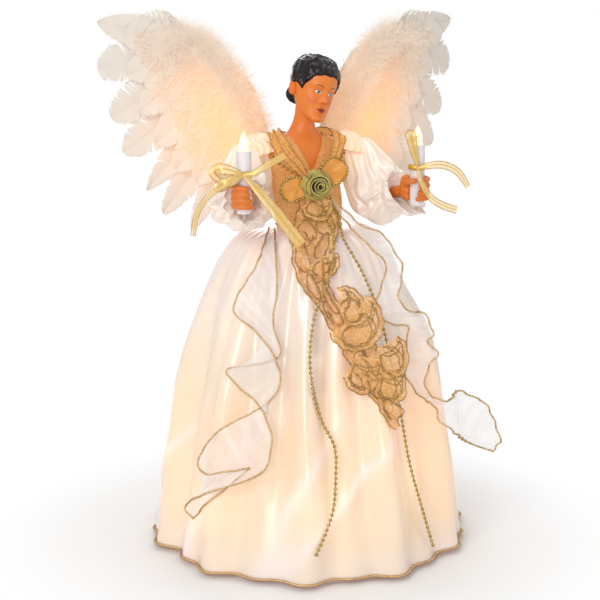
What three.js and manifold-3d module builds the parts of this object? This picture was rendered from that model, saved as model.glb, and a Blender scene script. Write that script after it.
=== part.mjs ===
import * as THREE from 'three';
import { mergeVertices } from 'three/addons/utils/BufferGeometryUtils.js';
import Module from 'manifold-3d';

const wasm = await Module();
wasm.setup();

// Sizes in millimetres, angles in degrees. Front is -Y and the figure's left is +X.
const GAP = 0.4;
const MERGE_LIMIT = 0.1;

// Cone that slips over the tree's leader, and the torso plugged in its top.
const CONE_RIM_RADIUS = 80;
const CONE_TOP_RADIUS = 17;
const CONE_HEIGHT = 176;
const CONE_WALL = 1.4;
const CONE_LIP = 4;
const CONE_FACETS = 36;
const CABLE_NOTCH_RADIUS = 5;
const PLUG_DEPTH = 9;
const FLANGE_HEIGHT = 4;
const WAIST_HALF_WIDTH = 18;
const WAIST_HALF_DEPTH = 16;
const WAIST_RISE = 11;
const TORSO_HEIGHT = 38;
const TORSO_BORE_RADIUS = 4;
const CHEST_SWAY = -4;

// Bust, head and hair.
const SHOULDER_HALF_WIDTH = 22;
const SHOULDER_HALF_DEPTH = 16;
const BUST_HEIGHT = 26;
const NECK_RADIUS = 6.5;
const HEAD_HEIGHT = 37.2;
const HEAD_LIFT = 51;
const HEAD_FORWARD = 6;
const HEAD_TURN = 7;
const HEAD_NOD = 5;
const HEAD_LEAN = 14;
const HAIR_THICKNESS = 1.8;
const BUN_RADIUS = 6;

// Satin skirt and its hem cord.
const HEM_FLARE = 10;
const HEM_HEIGHT = 3.2;
const SKIRT_BELL = 0.36;
const SKIRT_THICKNESS = 1;
const FOLD_COUNT = 10;
const FOLD_DEPTH = 2.4;
const FOLD_TURN = -20;
const PLEAT_COUNT = 21;
const PLEAT_DEPTH = 1.8;
const HEM_CORD_RADIUS = 1.3;

// Lace, bow, rose, beads and ribbons on the gown.
const LACE_THICKNESS = 0.9;
const NECKLINE_HALF_WIDTH = 13;
const COLLAR_WIDTH = 11;
const ROSE_RADIUS = 8.5;
const ROSE_DEPTH = 7;
const ROSE_TURNS = 3;
const BOW_LOOP_LENGTH = 22;
const BOW_LOOP_WIDTH = 14;
const BOW_LEAN = 28;
const CASCADE_WIDTH = 26;
const BEAD_RADIUS = 1.5;
const BEAD_PITCH = 5.2;
const RIBBON_WIDTH = 32;
const DRAPE_LIFT = 1;
const RIBBON_THICKNESS = 0.7;

// Lamps in the cone and their string.
const LAMP_COUNT = 8;
const LAMP_HEIGHT = 44;
const LAMP_PHASE = -15;
const LAMP_HOLDER_RADIUS = 3.2;
const LAMP_TAIL = 9;
const LAMP_BULB_RADIUS = 2.6;
const LAMP_BULB_LENGTH = 10;
const STRING_RADIUS = 1.1;

// Arms, from the shoulder pivot to the wrist, and what the hands hold.
const PIVOT_OUT = 32;
const PIVOT_RISE = 16;
const WRIST_OUT = 44;
const WRIST_FORWARD = 29;
const WRIST_DROP = 23;
const HAND_REACH = 17;
const HAND_RISE = 4;
const SHOULDER_BALL = 10;
const SLEEVE_FULLNESS = 15;
const SLEEVE_SWAY = 5;
const SLEEVE_END_RADIUS = 9;
const SLEEVE_BORE = 4;
const ARM_WIRE_RADIUS = 1;
const LEAD_RADIUS = 0.6;
const CUFF_RADIUS = 12;
const CUFF_LENGTH = 5;
const CANDLE_RADIUS = 4.1;
const CANDLE_HEIGHT = 34;
const CANDLE_BORE = 2.5;
const FIST_HEIGHT = 14;
const FINGER_RADIUS = 1.7;
const FLAME_RADIUS = 3.1;
const FLAME_HEIGHT = 11;
const FLAME_STEM = 14;
const TIE_WIDTH = 6;

// Wings.
const HINGE_OUT = 10;
const HINGE_BACK = 28;
const HINGE_RISE = 8;
const WING_SWEEP = 16;
const BACKING_THICKNESS = 1.2;
const WING_WIRE_RADIUS = 1;
const BRACKET_THICKNESS = 2;
const FEATHER_COUNT = 7;
const FEATHER_WIDTH = 25;
const FEATHER_PITCH = 1;
const FEATHER_CURL = 7;
const CURL_START = 66;
const FLUFF_RADIUS = 10;
const FLUFF_DEPTH = 5;
const LEADING_EDGE = [[14, 21], [18, 38], [29, 57], [46, 70], [62, 72]];
const FEATHER_TIPS = [[104.5, 80], [105, 53], [98, 25], [91, 4], [78, -18], [68.5, -32], [52, -42]];
const BACKING_OUTLINE = [
  [4, -3], [4, 4], [8, 24], [15, 43], [30, 62], [46, 72], [62, 73], [66, 62], [46, 46], [32, 24], [18, 4],
];

// Candle ribbons by side, left (1) and right (-1), in ribbon widths.
// Loops come back to the knot, tails do not.
const TIES = {
  1: [
    [[-0.83, -1.17, 1], [-0.5, -1.5, 2.5], [0.67, -1.33, 2], [0.33, -1.08, 0.33]],
    [[1.33, -1, 0.5], [2.67, -0.67, 0], [1.83, -1.17, -0.67], [0.5, -1.17, -0.17]],
    [[1.67, -0.83, -0.17], [3.67, -0.33, -1.17], [5.83, 0, -2]],
    [[1.5, -1.33, -0.5], [3, -1, -2.67], [4.83, -0.33, -4.67]],
  ],
  '-1': [
    [[-1.33, -1, 0.67], [-2.67, -0.5, 0.33], [-1.83, -1.17, -0.5], [-0.5, -1.17, -0.17]],
    [[1, -1.33, 0.83], [2, -1.5, 1.33], [1.5, -1.33, 0.17], [0.5, -1.17, -0.17]],
    [[1.33, -1.33, 0.5], [2.5, -1.17, 1.17], [3.67, -1, 1.5]],
    [[1.17, -1.67, -0.5], [2.5, -2.5, -3], [3.83, -3.33, -5.33]],
    [[-1.67, -1, -0.17], [-3.33, -0.5, -1.67], [-4.83, 0, -4]],
  ],
};

const V = (x, y, z) => new THREE.Vector3(x, y, z);
const rad = THREE.MathUtils.degToRad;
const { lerp, clamp, smoothstep } = THREE.MathUtils;

// Heights that follow from the sizes above.
const TORSO_Z = CONE_HEIGHT + GAP;
const WAIST_Z = TORSO_Z + WAIST_RISE;
const BUST_Z = TORSO_Z + TORSO_HEIGHT + GAP;
const PIVOT_Z = BUST_Z + PIVOT_RISE;
const WRIST_Z = PIVOT_Z - WRIST_DROP;
const HINGE_Z = BUST_Z + HINGE_RISE;
const LACE_OFFSET = GAP + LACE_THICKNESS;
const BODY_SIDES = 20;

// Gives a mesh's faces outward normals and drops everything but its places.
function outward(points, faces) {
  let volume = 0;
  for (let i = 0; i < faces.length; i += 3) {
    const [a, b, c] = [points[faces[i]], points[faces[i + 1]], points[faces[i + 2]]];
    volume += a.dot(b.clone().cross(c));
  }
  const geometry = new THREE.BufferGeometry().setFromPoints(points);
  geometry.setIndex(volume < 0 ? faces.slice().reverse() : faces);
  return geometry;
}

// Skins matching rings of points; a closed run joins its last ring to its first, an open one gets end caps.
function skin(rings, closed = false) {
  const count = rings[0].length;
  const points = rings.flat();
  const faces = [];
  const spans = closed ? rings.length : rings.length - 1;
  for (let i = 0; i < spans; i += 1) {
    const here = i * count;
    const next = ((i + 1) % rings.length) * count;
    for (let j = 0; j < count; j += 1) {
      const k = (j + 1) % count;
      faces.push(here + j, here + k, next + k, here + j, next + k, next + j);
    }
  }
  if (!closed) {
    const ends = [rings[0], rings[rings.length - 1]];
    ends.forEach((ring, end) => {
      const base = end * (rings.length - 1) * count;
      const centre = ring.reduce((sum, p) => sum.add(p), V(0, 0, 0)).divideScalar(count);
      points.push(centre);
      for (let j = 0; j < count; j += 1) {
        const pair = [base + j, base + (j + 1) % count];
        faces.push(points.length - 1, pair[1 - end], pair[end]);
      }
    });
  }
  return outward(points, faces);
}

// Rings of an upright stack; each row is [height, half width, half depth, shift in y, shift in x].
function stack(rows, sides) {
  return skin(rows.map(([z, width, depth = width, shift = 0, sway = 0]) => turn(sides, (angle) => (
    V(width * Math.cos(angle) + sway, depth * Math.sin(angle) + shift, z)))));
}

// Solid turned about the z axis from a closed outline of [radius, height] points.
function turned(outline, sides) {
  const at = (angle) => outline.map(([r, z]) => V(r * Math.cos(angle), r * Math.sin(angle), z));
  return skin(turn(sides, at), true);
}

function turn(sides, make) {
  return Array.from({ length: sides }, (_, i) => make((i / sides) * 2 * Math.PI, i));
}

// Round bar along a smooth line; radius may vary with the share of the way along it.
function bar(points, radius, sides, steps, closed = false) {
  const curve = new THREE.CatmullRomCurve3(points, closed, 'centripetal');
  const frames = curve.computeFrenetFrames(steps, closed);
  const size = typeof radius === 'number' ? () => radius : radius;
  const rings = Array.from({ length: closed ? steps : steps + 1 }, (_, i) => {
    const centre = curve.getPointAt(i / steps);
    return turn(sides, (angle) => centre.clone()
      .addScaledVector(frames.normals[i], size(i / steps) * Math.cos(angle))
      .addScaledVector(frames.binormals[i], size(i / steps) * Math.sin(angle)));
  });
  return skin(rings, closed);
}

// Flat band through stations of { at, across, width }, as thick as told.
function band(stations, thickness) {
  const rings = stations.map(({ at, across, width }, i) => {
    const before = stations[Math.max(i - 1, 0)].at;
    const after = stations[Math.min(i + 1, stations.length - 1)].at;
    const through = after.clone().sub(before).cross(across).normalize().multiplyScalar(thickness / 2);
    const side = across.clone().normalize().multiplyScalar(width / 2);
    return [
      at.clone().add(side).add(through),
      at.clone().sub(side).add(through),
      at.clone().sub(side).sub(through),
      at.clone().add(side).sub(through),
    ];
  });
  return skin(rings);
}

// Band whose centre line is a smooth curve through the points.
function ribbon(points, steps, width, across, thickness = RIBBON_THICKNESS) {
  const curve = new THREE.CatmullRomCurve3(points);
  const size = typeof width === 'number' ? () => width : width;
  return band(Array.from({ length: steps + 1 }, (_, i) => {
    const t = i / steps;
    return { at: curve.getPointAt(t), across: across(t, curve), width: size(t) };
  }), thickness);
}

function ball(centre, radius, squash = V(1, 1, 1), sides = 12) {
  return new THREE.SphereGeometry(radius, sides, Math.round(sides * 0.7))
    .scale(squash.x, squash.y, squash.z).translate(centre.x, centre.y, centre.z);
}

function block(size, centre) {
  return new THREE.BoxGeometry(size.x, size.y, size.z).translate(centre.x, centre.y, centre.z);
}

// Joining and cutting of closed bodies.
function solid(geometry) {
  const bare = new THREE.BufferGeometry().setAttribute('position', geometry.getAttribute('position'));
  bare.setIndex(geometry.index);
  const merged = mergeVertices(bare, 1e-4);
  return new wasm.Manifold(new wasm.Mesh({
    numProp: 3,
    vertProperties: new Float32Array(merged.getAttribute('position').array),
    triVerts: new Uint32Array(merged.index.array),
  }));
}

function shape(body) {
  const { vertProperties, triVerts } = body.simplify(MERGE_LIMIT).getMesh();
  const geometry = new THREE.BufferGeometry();
  geometry.setAttribute('position', new THREE.BufferAttribute(new Float32Array(vertProperties), 3));
  return geometry.setIndex(Array.from(triVerts));
}

function joined(...pieces) {
  return shape(pieces.map(solid).reduce((sum, next) => sum.add(next)));
}

function cut(piece, ...tools) {
  return shape(tools.map(solid).reduce((rest, tool) => rest.subtract(tool), solid(piece)));
}

// Cone: a lipped wall with a hole for each lamp and a notch for the cable in its rim.
const coneRadius = (z) => lerp(CONE_RIM_RADIUS, CONE_TOP_RADIUS, z / CONE_HEIGHT);
const coneTilt = Math.atan2(CONE_RIM_RADIUS - CONE_TOP_RADIUS, CONE_HEIGHT);

// Places a piece made along +Z so that it stands on the cone's wall at one lamp.
function atLamp(geometry, index) {
  const angle = rad(LAMP_PHASE + (index * 360) / LAMP_COUNT);
  const radius = coneRadius(LAMP_HEIGHT);
  return geometry.rotateX(Math.PI / 2 - coneTilt).rotateZ(angle)
    .translate(radius * Math.sin(angle), -radius * Math.cos(angle), LAMP_HEIGHT);
}

function skirtCone() {
  const inner = CONE_WALL / Math.cos(coneTilt);
  const wall = turned([
    [CONE_RIM_RADIUS + CONE_LIP, 0],
    [CONE_RIM_RADIUS + CONE_LIP, CONE_WALL],
    [coneRadius(CONE_WALL), CONE_WALL],
    [CONE_TOP_RADIUS, CONE_HEIGHT],
    [CONE_TOP_RADIUS - inner, CONE_HEIGHT],
    [CONE_RIM_RADIUS - inner, 0],
  ], CONE_FACETS);
  const notch = new THREE.CylinderGeometry(CABLE_NOTCH_RADIUS, CABLE_NOTCH_RADIUS, 24, 12)
    .translate(0, CONE_RIM_RADIUS, 0);
  const hole = LAMP_HOLDER_RADIUS + GAP;
  const holes = Array.from({ length: LAMP_COUNT }, (_, i) => (
    atLamp(new THREE.CylinderGeometry(hole, hole, 12, 8).rotateX(Math.PI / 2), i)));
  return cut(wall, notch, ...holes);
}

// Sealed lamp: holder tail inside the cone, flange on its outside, glass bulb beyond.
function lamp(index) {
  const flange = GAP + 0.3;
  const rows = [
    [-LAMP_TAIL, LAMP_HOLDER_RADIUS],
    [flange, LAMP_HOLDER_RADIUS],
    [flange, LAMP_HOLDER_RADIUS + 1.4],
    [flange + 2, LAMP_HOLDER_RADIUS + 1],
    [flange + 2, LAMP_BULB_RADIUS],
    [flange + LAMP_BULB_LENGTH * 0.6, LAMP_BULB_RADIUS],
    [flange + LAMP_BULB_LENGTH, LAMP_BULB_RADIUS * 0.25],
  ];
  return atLamp(stack(rows, 8), index);
}

// Wire from the cable notch round all lamp tails and up into the torso's bore.
function lampString() {
  const reach = coneRadius(LAMP_HEIGHT) - LAMP_TAIL - 6;
  const points = [V(0, CONE_RIM_RADIUS - 9, 6), V(0, reach + 3, LAMP_HEIGHT * 0.5)];
  for (let i = 0; i <= LAMP_COUNT; i += 1) {
    const angle = rad(185 + (i * 340) / LAMP_COUNT);
    points.push(V(reach * Math.sin(angle), -reach * Math.cos(angle), LAMP_HEIGHT - 8));
  }
  points.push(V(-reach * 0.2, reach * 0.4, CONE_HEIGHT * 0.6));
  points.push(V(0, 0, CONE_HEIGHT - PLUG_DEPTH - 12), V(0, 0, WAIST_Z));
  return bar(points, STRING_RADIUS, 5, 38);
}

// Torso and bust share one run of sections: [height, half width, half depth, shift in y, sway].
const chestSway = (z) => CHEST_SWAY * smoothstep(z, WAIST_Z, BUST_Z);
const swayed = (rows) => rows.map(([z, width, depth]) => [z, width, depth, 0, chestSway(z)]);
const torsoSections = swayed([
  [WAIST_Z, WAIST_HALF_WIDTH, WAIST_HALF_DEPTH],
  [lerp(WAIST_Z, BUST_Z, 0.5), lerp(WAIST_HALF_WIDTH, SHOULDER_HALF_WIDTH, 0.55), WAIST_HALF_DEPTH + 1],
  [BUST_Z - GAP, SHOULDER_HALF_WIDTH * 0.94, SHOULDER_HALF_DEPTH + 0.6],
]);
const bustSections = swayed([
  [BUST_Z, SHOULDER_HALF_WIDTH * 0.94, SHOULDER_HALF_DEPTH + 0.6],
  [BUST_Z + BUST_HEIGHT * 0.4, SHOULDER_HALF_WIDTH, SHOULDER_HALF_DEPTH],
  [BUST_Z + BUST_HEIGHT * 0.68, SHOULDER_HALF_WIDTH * 0.96, SHOULDER_HALF_DEPTH * 0.9],
  [BUST_Z + BUST_HEIGHT * 0.87, SHOULDER_HALF_WIDTH * 0.72, SHOULDER_HALF_DEPTH * 0.74],
  [BUST_Z + BUST_HEIGHT, SHOULDER_HALF_WIDTH * 0.4, SHOULDER_HALF_DEPTH * 0.56],
]);

const shoulderPivot = (side) => V(side * PIVOT_OUT + CHEST_SWAY, 0, PIVOT_Z);
const shoulderSocket = (side) => ball(shoulderPivot(side), SHOULDER_BALL + 3 * GAP, V(1, 1, 1), 14);

function torsoBlock() {
  const plug = CONE_TOP_RADIUS - CONE_WALL / Math.cos(coneTilt) - GAP;
  const flange = CONE_TOP_RADIUS + 1;
  const body = stack([
    [CONE_HEIGHT - PLUG_DEPTH, plug - 1],
    [CONE_HEIGHT - PLUG_DEPTH + 2, plug],
    [TORSO_Z, plug],
    [TORSO_Z, flange],
    [TORSO_Z + FLANGE_HEIGHT, flange],
    ...torsoSections,
  ], BODY_SIDES);
  const boreTop = WAIST_Z + TORSO_HEIGHT * 0.4;
  const boreLength = boreTop - CONE_HEIGHT + PLUG_DEPTH + 4;
  const bore = new THREE.CylinderGeometry(TORSO_BORE_RADIUS, TORSO_BORE_RADIUS, boreLength, 12)
    .rotateX(Math.PI / 2).translate(0, 0, boreTop - boreLength / 2);
  return cut(body, bore);
}

// Head sections upward from the chin: [height, half width, front, back] in a head forty units tall.
const HEAD_SECTIONS = [
  [-20, 3.2, -13, -6],
  [-17.5, 6.2, -15, -2],
  [-12.5, 9, -14.6, 4],
  [-6, 11.4, -14.4, 10.5],
  [0, 12.7, -14, 14.5],
  [6, 13.3, -14.6, 16.4],
  [11, 12.7, -13.4, 16],
  [15.5, 10.2, -9.6, 13],
  [18.6, 6, -4.2, 8],
  [20, 1.6, 0.4, 3.6],
];

// Head with nose and ears, every surface moved out by the growth.
function headForm(growth) {
  const scale = HEAD_HEIGHT / 40;
  const rings = HEAD_SECTIONS.map(([z, width, front, back], i) => {
    const ends = i === 0 || i === HEAD_SECTIONS.length - 1;
    const lift = ends ? Math.sign(z) * growth : 0;
    return turn(14, (angle) => V(
      (width * scale + growth) * Math.cos(angle),
      (front + back) * 0.5 * scale + ((back - front) * 0.5 * scale + growth) * Math.sin(angle),
      z * scale + lift,
    ));
  });
  const nose = ball(V(0, -14.6, -4.4).multiplyScalar(scale), 2.6 * scale + growth, V(0.75, 1, 1.35), 8);
  const ears = [-1, 1].map((side) => (
    ball(V(side * 12.6, 2.5, -1.5).multiplyScalar(scale), 3.4 * scale + growth, V(0.5, 0.85, 1.2), 8)));
  return joined(skin(rings), nose, ...ears);
}

function poseHead(geometry) {
  return geometry.rotateX(rad(HEAD_NOD)).rotateY(rad(HEAD_LEAN)).rotateZ(rad(HEAD_TURN))
    .translate(0, -HEAD_FORWARD, BUST_Z + HEAD_LIFT);
}

// Sections of the neck, moved out by the growth.
function neckSections(growth) {
  const neckTop = BUST_Z + HEAD_LIFT - HEAD_HEIGHT * 0.22;
  const radius = NECK_RADIUS + growth;
  return [
    [BUST_Z + BUST_HEIGHT + 4, radius * 1.05, radius, 0, CHEST_SWAY],
    [neckTop, radius, radius, -HEAD_FORWARD * 0.5, CHEST_SWAY * 0.5],
  ];
}

function headBust() {
  const chest = stack([...bustSections, ...neckSections(0)], BODY_SIDES);
  const channel = ARM_WIRE_RADIUS + GAP;
  const wireWay = new THREE.CylinderGeometry(channel, channel, 2 * PIVOT_OUT, 8)
    .rotateZ(Math.PI / 2).translate(CHEST_SWAY, 0, PIVOT_Z);
  return cut(joined(chest, poseHead(headForm(0))), shoulderSocket(-1), shoulderSocket(1), wireWay);
}

// Moulded hair: the head's form grown, trimmed along the hairline, with a bun at the nape.
function hair() {
  const scale = HEAD_HEIGHT / 40;
  const hairline = V(0, 0.64, 0.77);
  const cap = solid(headForm(HAIR_THICKNESS)).trimByPlane(hairline.toArray(), -2.6 * scale);
  const bun = solid(ball(V(0, 15.5, -6).multiplyScalar(scale), BUN_RADIUS, V(1.15, 0.8, 0.9), 12));
  const moulded = poseHead(shape(cap.add(bun).subtract(solid(headForm(GAP)))));
  return cut(moulded, stack(neckSections(GAP), BODY_SIDES));
}

// Lace bodice: a fitted shell with a V neck and open armholes.
function laceBodice() {
  const rows = [...torsoSections, ...bustSections.slice(1)];
  const shell = (offset) => rows.map(([z, width, depth], i) => {
    const [zBelow, below] = rows[Math.max(i - 1, 0)];
    const [zAbove, above] = rows[Math.min(i + 1, rows.length - 1)];
    const normal = V(zAbove - zBelow, below - above, 0).normalize();
    return [z + normal.y * offset, width + normal.x * offset, depth + normal.x * offset, chestSway(z)];
  });
  const outline = [...shell(LACE_OFFSET), ...shell(GAP).reverse()];
  const wrap = skin(turn(BODY_SIDES, (angle) => outline.map(([z, width, depth, sway]) => (
    V(width * Math.cos(angle) + sway, depth * Math.sin(angle), z)))), true);
  const neckline = new THREE.Shape([
    new THREE.Vector2(0, BUST_Z + 5),
    new THREE.Vector2(NECKLINE_HALF_WIDTH, BUST_Z + BUST_HEIGHT + 6),
    new THREE.Vector2(-NECKLINE_HALF_WIDTH, BUST_Z + BUST_HEIGHT + 6),
  ]);
  const wedge = new THREE.ExtrudeGeometry(neckline, { depth: 40, bevelEnabled: false })
    .rotateX(Math.PI / 2).translate(CHEST_SWAY, 0, 0);
  return cut(wrap, wedge, shoulderSocket(-1), shoulderSocket(1));
}

// Ruffled collar along the V neck, over the shoulders and low behind the neck.
function laceCollar() {
  const rise = BUST_Z + BUST_HEIGHT;
  const front = -SHOULDER_HALF_DEPTH - LACE_OFFSET;
  const half = [
    V(NECKLINE_HALF_WIDTH * 0.45, front - 2.6, BUST_Z + BUST_HEIGHT * 0.36),
    V(NECKLINE_HALF_WIDTH * 0.75, front - 1.4, BUST_Z + BUST_HEIGHT * 0.58),
    V(NECKLINE_HALF_WIDTH * 1.12, front * 0.76, rise - 2.5),
    V(NECKLINE_HALF_WIDTH * 1.15, front * 0.25, rise + 1.5),
    V(NECKLINE_HALF_WIDTH * 0.95, -front * 0.35, rise + 1.5),
    V(NECKLINE_HALF_WIDTH * 0.6, -front * 0.86, rise - 1),
  ];
  const path = [...half, V(0, -front, rise - 3), ...half.slice().reverse().map((p) => V(-p.x, p.y, p.z))];
  const curve = new THREE.CatmullRomCurve3(path);
  const steps = 36;
  return band(Array.from({ length: steps + 1 }, (_, i) => {
    const at = curve.getPointAt(i / steps);
    const ruffle = 0.22 * Math.cos(i * Math.PI * 0.5);
    const behind = smoothstep(at.y, 0, -front);
    const across = V(at.x * 1.6, at.y * 0.35 + 14 * behind, 8 * (1 - 0.7 * behind)).normalize()
      .add(V(0, 0, ruffle)).normalize();
    const width = COLLAR_WIDTH * (1 - 0.5 * smoothstep(at.y, front * 0.3, -front * 0.5));
    at.addScaledVector(across, width / 2).add(V(CHEST_SWAY, 0, 0));
    return { at, across, width };
  }), LACE_THICKNESS);
}

// Satin skirt: share t of the way from waist to hem gives the bell's radius and height.
const SKIRT_WAIST = Math.max(WAIST_HALF_WIDTH, WAIST_HALF_DEPTH) + LACE_OFFSET + GAP;
const SKIRT_TOP = WAIST_Z - GAP;
const HEM_RADIUS = CONE_RIM_RADIUS + HEM_FLARE;

function skirtPoint(angle, t, lift) {
  const bell = (share) => (
    V(lerp(SKIRT_WAIST, HEM_RADIUS, share ** SKIRT_BELL), lerp(SKIRT_TOP, HEM_HEIGHT, share), 0));
  const here = bell(t);
  const run = bell(Math.min(t + 0.01, 1)).sub(bell(Math.max(t - 0.01, 0))).normalize();
  const around = angle - rad(FOLD_TURN);
  const fold = FOLD_DEPTH * smoothstep(t, 0.02, 0.5) * Math.cos(FOLD_COUNT * around)
    + PLEAT_DEPTH * smoothstep(t, 0.02, 0.3) * Math.cos(PLEAT_COUNT * around);
  const radius = here.x - run.y * lift + fold;
  return V(radius * Math.sin(angle), -radius * Math.cos(angle), here.y + run.x * lift);
}

const onSkirt = (angle, t, lift) => skirtPoint(rad(angle), clamp(t, 0, 1), lift * DRAPE_LIFT);

function satinSkirt() {
  const rows = [0, 0.012, 0.05, 0.14, 0.34, 0.66, 1];
  const lining = [1, 0.34, 0.05, 0];
  return skin(turn(PLEAT_COUNT * 4, (angle) => [
    ...rows.map((t) => skirtPoint(angle, t, 0)),
    ...lining.map((t) => skirtPoint(angle, t, -SKIRT_THICKNESS)),
  ]), true);
}

function hemCord() {
  const lift = HEM_CORD_RADIUS + GAP;
  return skin(turn(PLEAT_COUNT * 4, (angle) => {
    const centre = skirtPoint(angle, 1, lift);
    const out = V(centre.x, centre.y, 0).normalize();
    return turn(4, (a) => centre.clone().addScaledVector(out, HEM_CORD_RADIUS * Math.cos(a))
      .add(V(0, 0, HEM_CORD_RADIUS * Math.sin(a))));
  }), true);
}

// Drapes on the skirt run through rows of [angle, share of the way down, lift].
const drape = (rows) => rows.map(([angle, t, lift]) => onSkirt(angle, t, lift));

// Direction across a drape that keeps it flat to the skirt.
function flatAcross(curve, t) {
  const at = curve.getPointAt(t);
  return curve.getTangentAt(t).cross(V(at.x, at.y, 12));
}

const BREAST_Y = -SHOULDER_HALF_DEPTH - LACE_OFFSET;

// Lace cascade: gathered under the rose, falls over the skirt and swings to the figure's left.
function laceCascade() {
  const points = [
    V(CHEST_SWAY, BREAST_Y - 3, BUST_Z - 8),
    V(CHEST_SWAY * 0.8, BREAST_Y - 6, BUST_Z - 17),
    ...drape([
      [-10, 0.027, 5], [-15, 0.076, 4.5], [-13, 0.147, 4], [-8, 0.218, 4], [-2, 0.294, 4.5],
      [4, 0.370, 5.5], [9, 0.441, 6.5], [14, 0.511, 6.5], [19, 0.582, 5.5],
    ]),
  ];
  const curve = new THREE.CatmullRomCurve3(points);
  const steps = 48;
  return band(Array.from({ length: steps + 1 }, (_, i) => {
    const t = i / steps;
    const at = curve.getPointAt(t);
    const out = V(at.x, at.y, 12).normalize();
    const wave = 1.3 * Math.sin(i * 1.3) * smoothstep(t, 0.1, 0.5);
    const gather = 0.55 + 0.2 * smoothstep(t, 0, 0.25) + 0.45 * smoothstep(t, 0.5, 0.8);
    const width = CASCADE_WIDTH * gather * (1 - 0.5 * smoothstep(t, 0.88, 1));
    return { at: at.addScaledVector(out, wave), across: flatAcross(curve, t), width };
  }), LACE_THICKNESS);
}

// Ribbon rose: one strip wound in a flaring spiral about the axis that faces forward.
const ROSE_AT = V(CHEST_SWAY, BREAST_Y - 8, BUST_Z - 1);

function ribbonRose() {
  const steps = ROSE_TURNS * 14;
  const rings = Array.from({ length: steps + 1 }, (_, i) => {
    const t = i / steps;
    const angle = t * ROSE_TURNS * 2 * Math.PI;
    const radius = lerp(ROSE_RADIUS * 0.16, ROSE_RADIUS * 0.84, t);
    const flare = ROSE_RADIUS * 0.16 * t;
    const front = ROSE_DEPTH * lerp(1, 0.75, t);
    const spot = (r, depth) => V(r * Math.cos(angle), -depth, r * Math.sin(angle)).add(ROSE_AT);
    return [
      spot(radius - RIBBON_THICKNESS / 2, 0),
      spot(radius + RIBBON_THICKNESS / 2, 0),
      spot(radius + flare + RIBBON_THICKNESS / 2, front),
      spot(radius + flare - RIBBON_THICKNESS / 2, front),
    ];
  });
  return skin(rings);
}

// Bow behind the rose: two beaded loops and the knot that joins them.
function beadBow() {
  const y = ROSE_AT.y + BEAD_RADIUS + GAP;
  const loop = (lean, size) => {
    const outline = Array.from({ length: 15 }, (_, i) => {
      const angle = (i / 14) * 2 * Math.PI;
      const reach = size * 0.5 * (1 - Math.cos(angle));
      return V(reach, 0, BOW_LOOP_WIDTH * 0.62 * Math.sin(angle) * Math.sin(angle / 2));
    });
    const lip = bar(outline.slice(0, 14), BEAD_RADIUS, 5, 16, true);
    const cloth = band(Array.from({ length: 6 }, (_, i) => {
      const angle = (0.12 + 0.84 * (i / 5)) * Math.PI;
      const across = BOW_LOOP_WIDTH * 1.24 * Math.sin(angle) * Math.sin(angle / 2);
      return { at: V(size * 0.5 * (1 - Math.cos(angle)), 0, 0), across: V(0, 0, 1), width: across };
    }), LACE_THICKNESS);
    return joined(lip, cloth).rotateY(-rad(lean)).translate(ROSE_AT.x, y, ROSE_AT.z);
  };
  const knot = ball(V(ROSE_AT.x, y, ROSE_AT.z), BEAD_RADIUS * 1.2);
  return joined(loop(BOW_LEAN, BOW_LOOP_LENGTH * 0.75), loop(180 + BOW_LEAN * 0.3, BOW_LOOP_LENGTH), knot);
}

// Bead strand: a thread of beads along a drape.
function beadStrand(points) {
  const length = new THREE.CatmullRomCurve3(points, false, 'centripetal').getLength();
  const beads = Math.round(length / BEAD_PITCH);
  const steps = beads * 2;
  return bar(points, (t) => (Math.round(t * steps) % 2 ? BEAD_RADIUS : BEAD_RADIUS * 0.4), 4, steps);
}

const longStrand = [
  V(CHEST_SWAY * 0.2, BREAST_Y - 10.5, BUST_Z - 13),
  V(CHEST_SWAY * 0.1, BREAST_Y - 18, BUST_Z - 20),
  ...drape([
    [-1, 0.027, 10], [-4, 0.082, 9.5], [-10, 0.158, 9.5],
    [-15, 0.218, 10.5], [-17.5, 0.310, 8.5], [-17, 0.403, 5],
    [-13, 0.522, 2.6], [-8, 0.604, 2.6], [-8, 0.707, 2.6], [-9.5, 0.800, 2.6], [-15.5, 0.909, 2.6],
  ]),
];
const shortStrand = [
  V(CHEST_SWAY + 9, BREAST_Y - 8, BUST_Z - 12),
  V(CHEST_SWAY + 12, BREAST_Y - 12, BUST_Z - 20),
  ...drape([
    [9, 0.033, 5], [14, 0.114, 3], [17.5, 0.218, 2.6], [20, 0.326, 2.4], [21.5, 0.435, 2.3], [23, 0.560, 2.3],
    [24.5, 0.680, 2.4], [28, 0.822, 2.6], [32, 0.952, 2.6],
  ]),
];

// Sheer ribbon between two edges, each a row of places on the skirt.
function edgedRibbon(upper, lower, steps) {
  const [first, second] = [upper, lower].map((rows) => new THREE.CatmullRomCurve3(drape(rows)));
  return band(Array.from({ length: steps + 1 }, (_, i) => {
    const [a, b] = [first.getPoint(i / steps), second.getPoint(i / steps)];
    const across = a.clone().sub(b);
    return { at: a.lerp(b, 0.5), across, width: across.length() };
  }), RIBBON_THICKNESS);
}

// Ribbon that curls down the figure's right in a flat spiral, by rows of its middle line.
const SPIRAL_ROWS = [
  [-46, 0.005, 3], [-38, 0.049, 5], [-32, 0.120, 8.5], [-43, 0.207, 14],
  [-55, 0.305, 10.5], [-44, 0.403, 6.5], [-29, 0.484, 9.5], [-46, 0.615, 15],
  [-63, 0.745, 10.5], [-53, 0.783, 7], [-43, 0.773, 9],
];

function spiralRibbon() {
  const half = RIBBON_WIDTH / 2 / (SKIRT_TOP - HEM_HEIGHT);
  const edge = (way) => SPIRAL_ROWS.map(([angle, t, lift], i) => (
    [angle, t + way * half * Math.min(0.25 + 0.25 * i, 1), lift]));
  return edgedRibbon(edge(-1), edge(1), 40);
}

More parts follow.
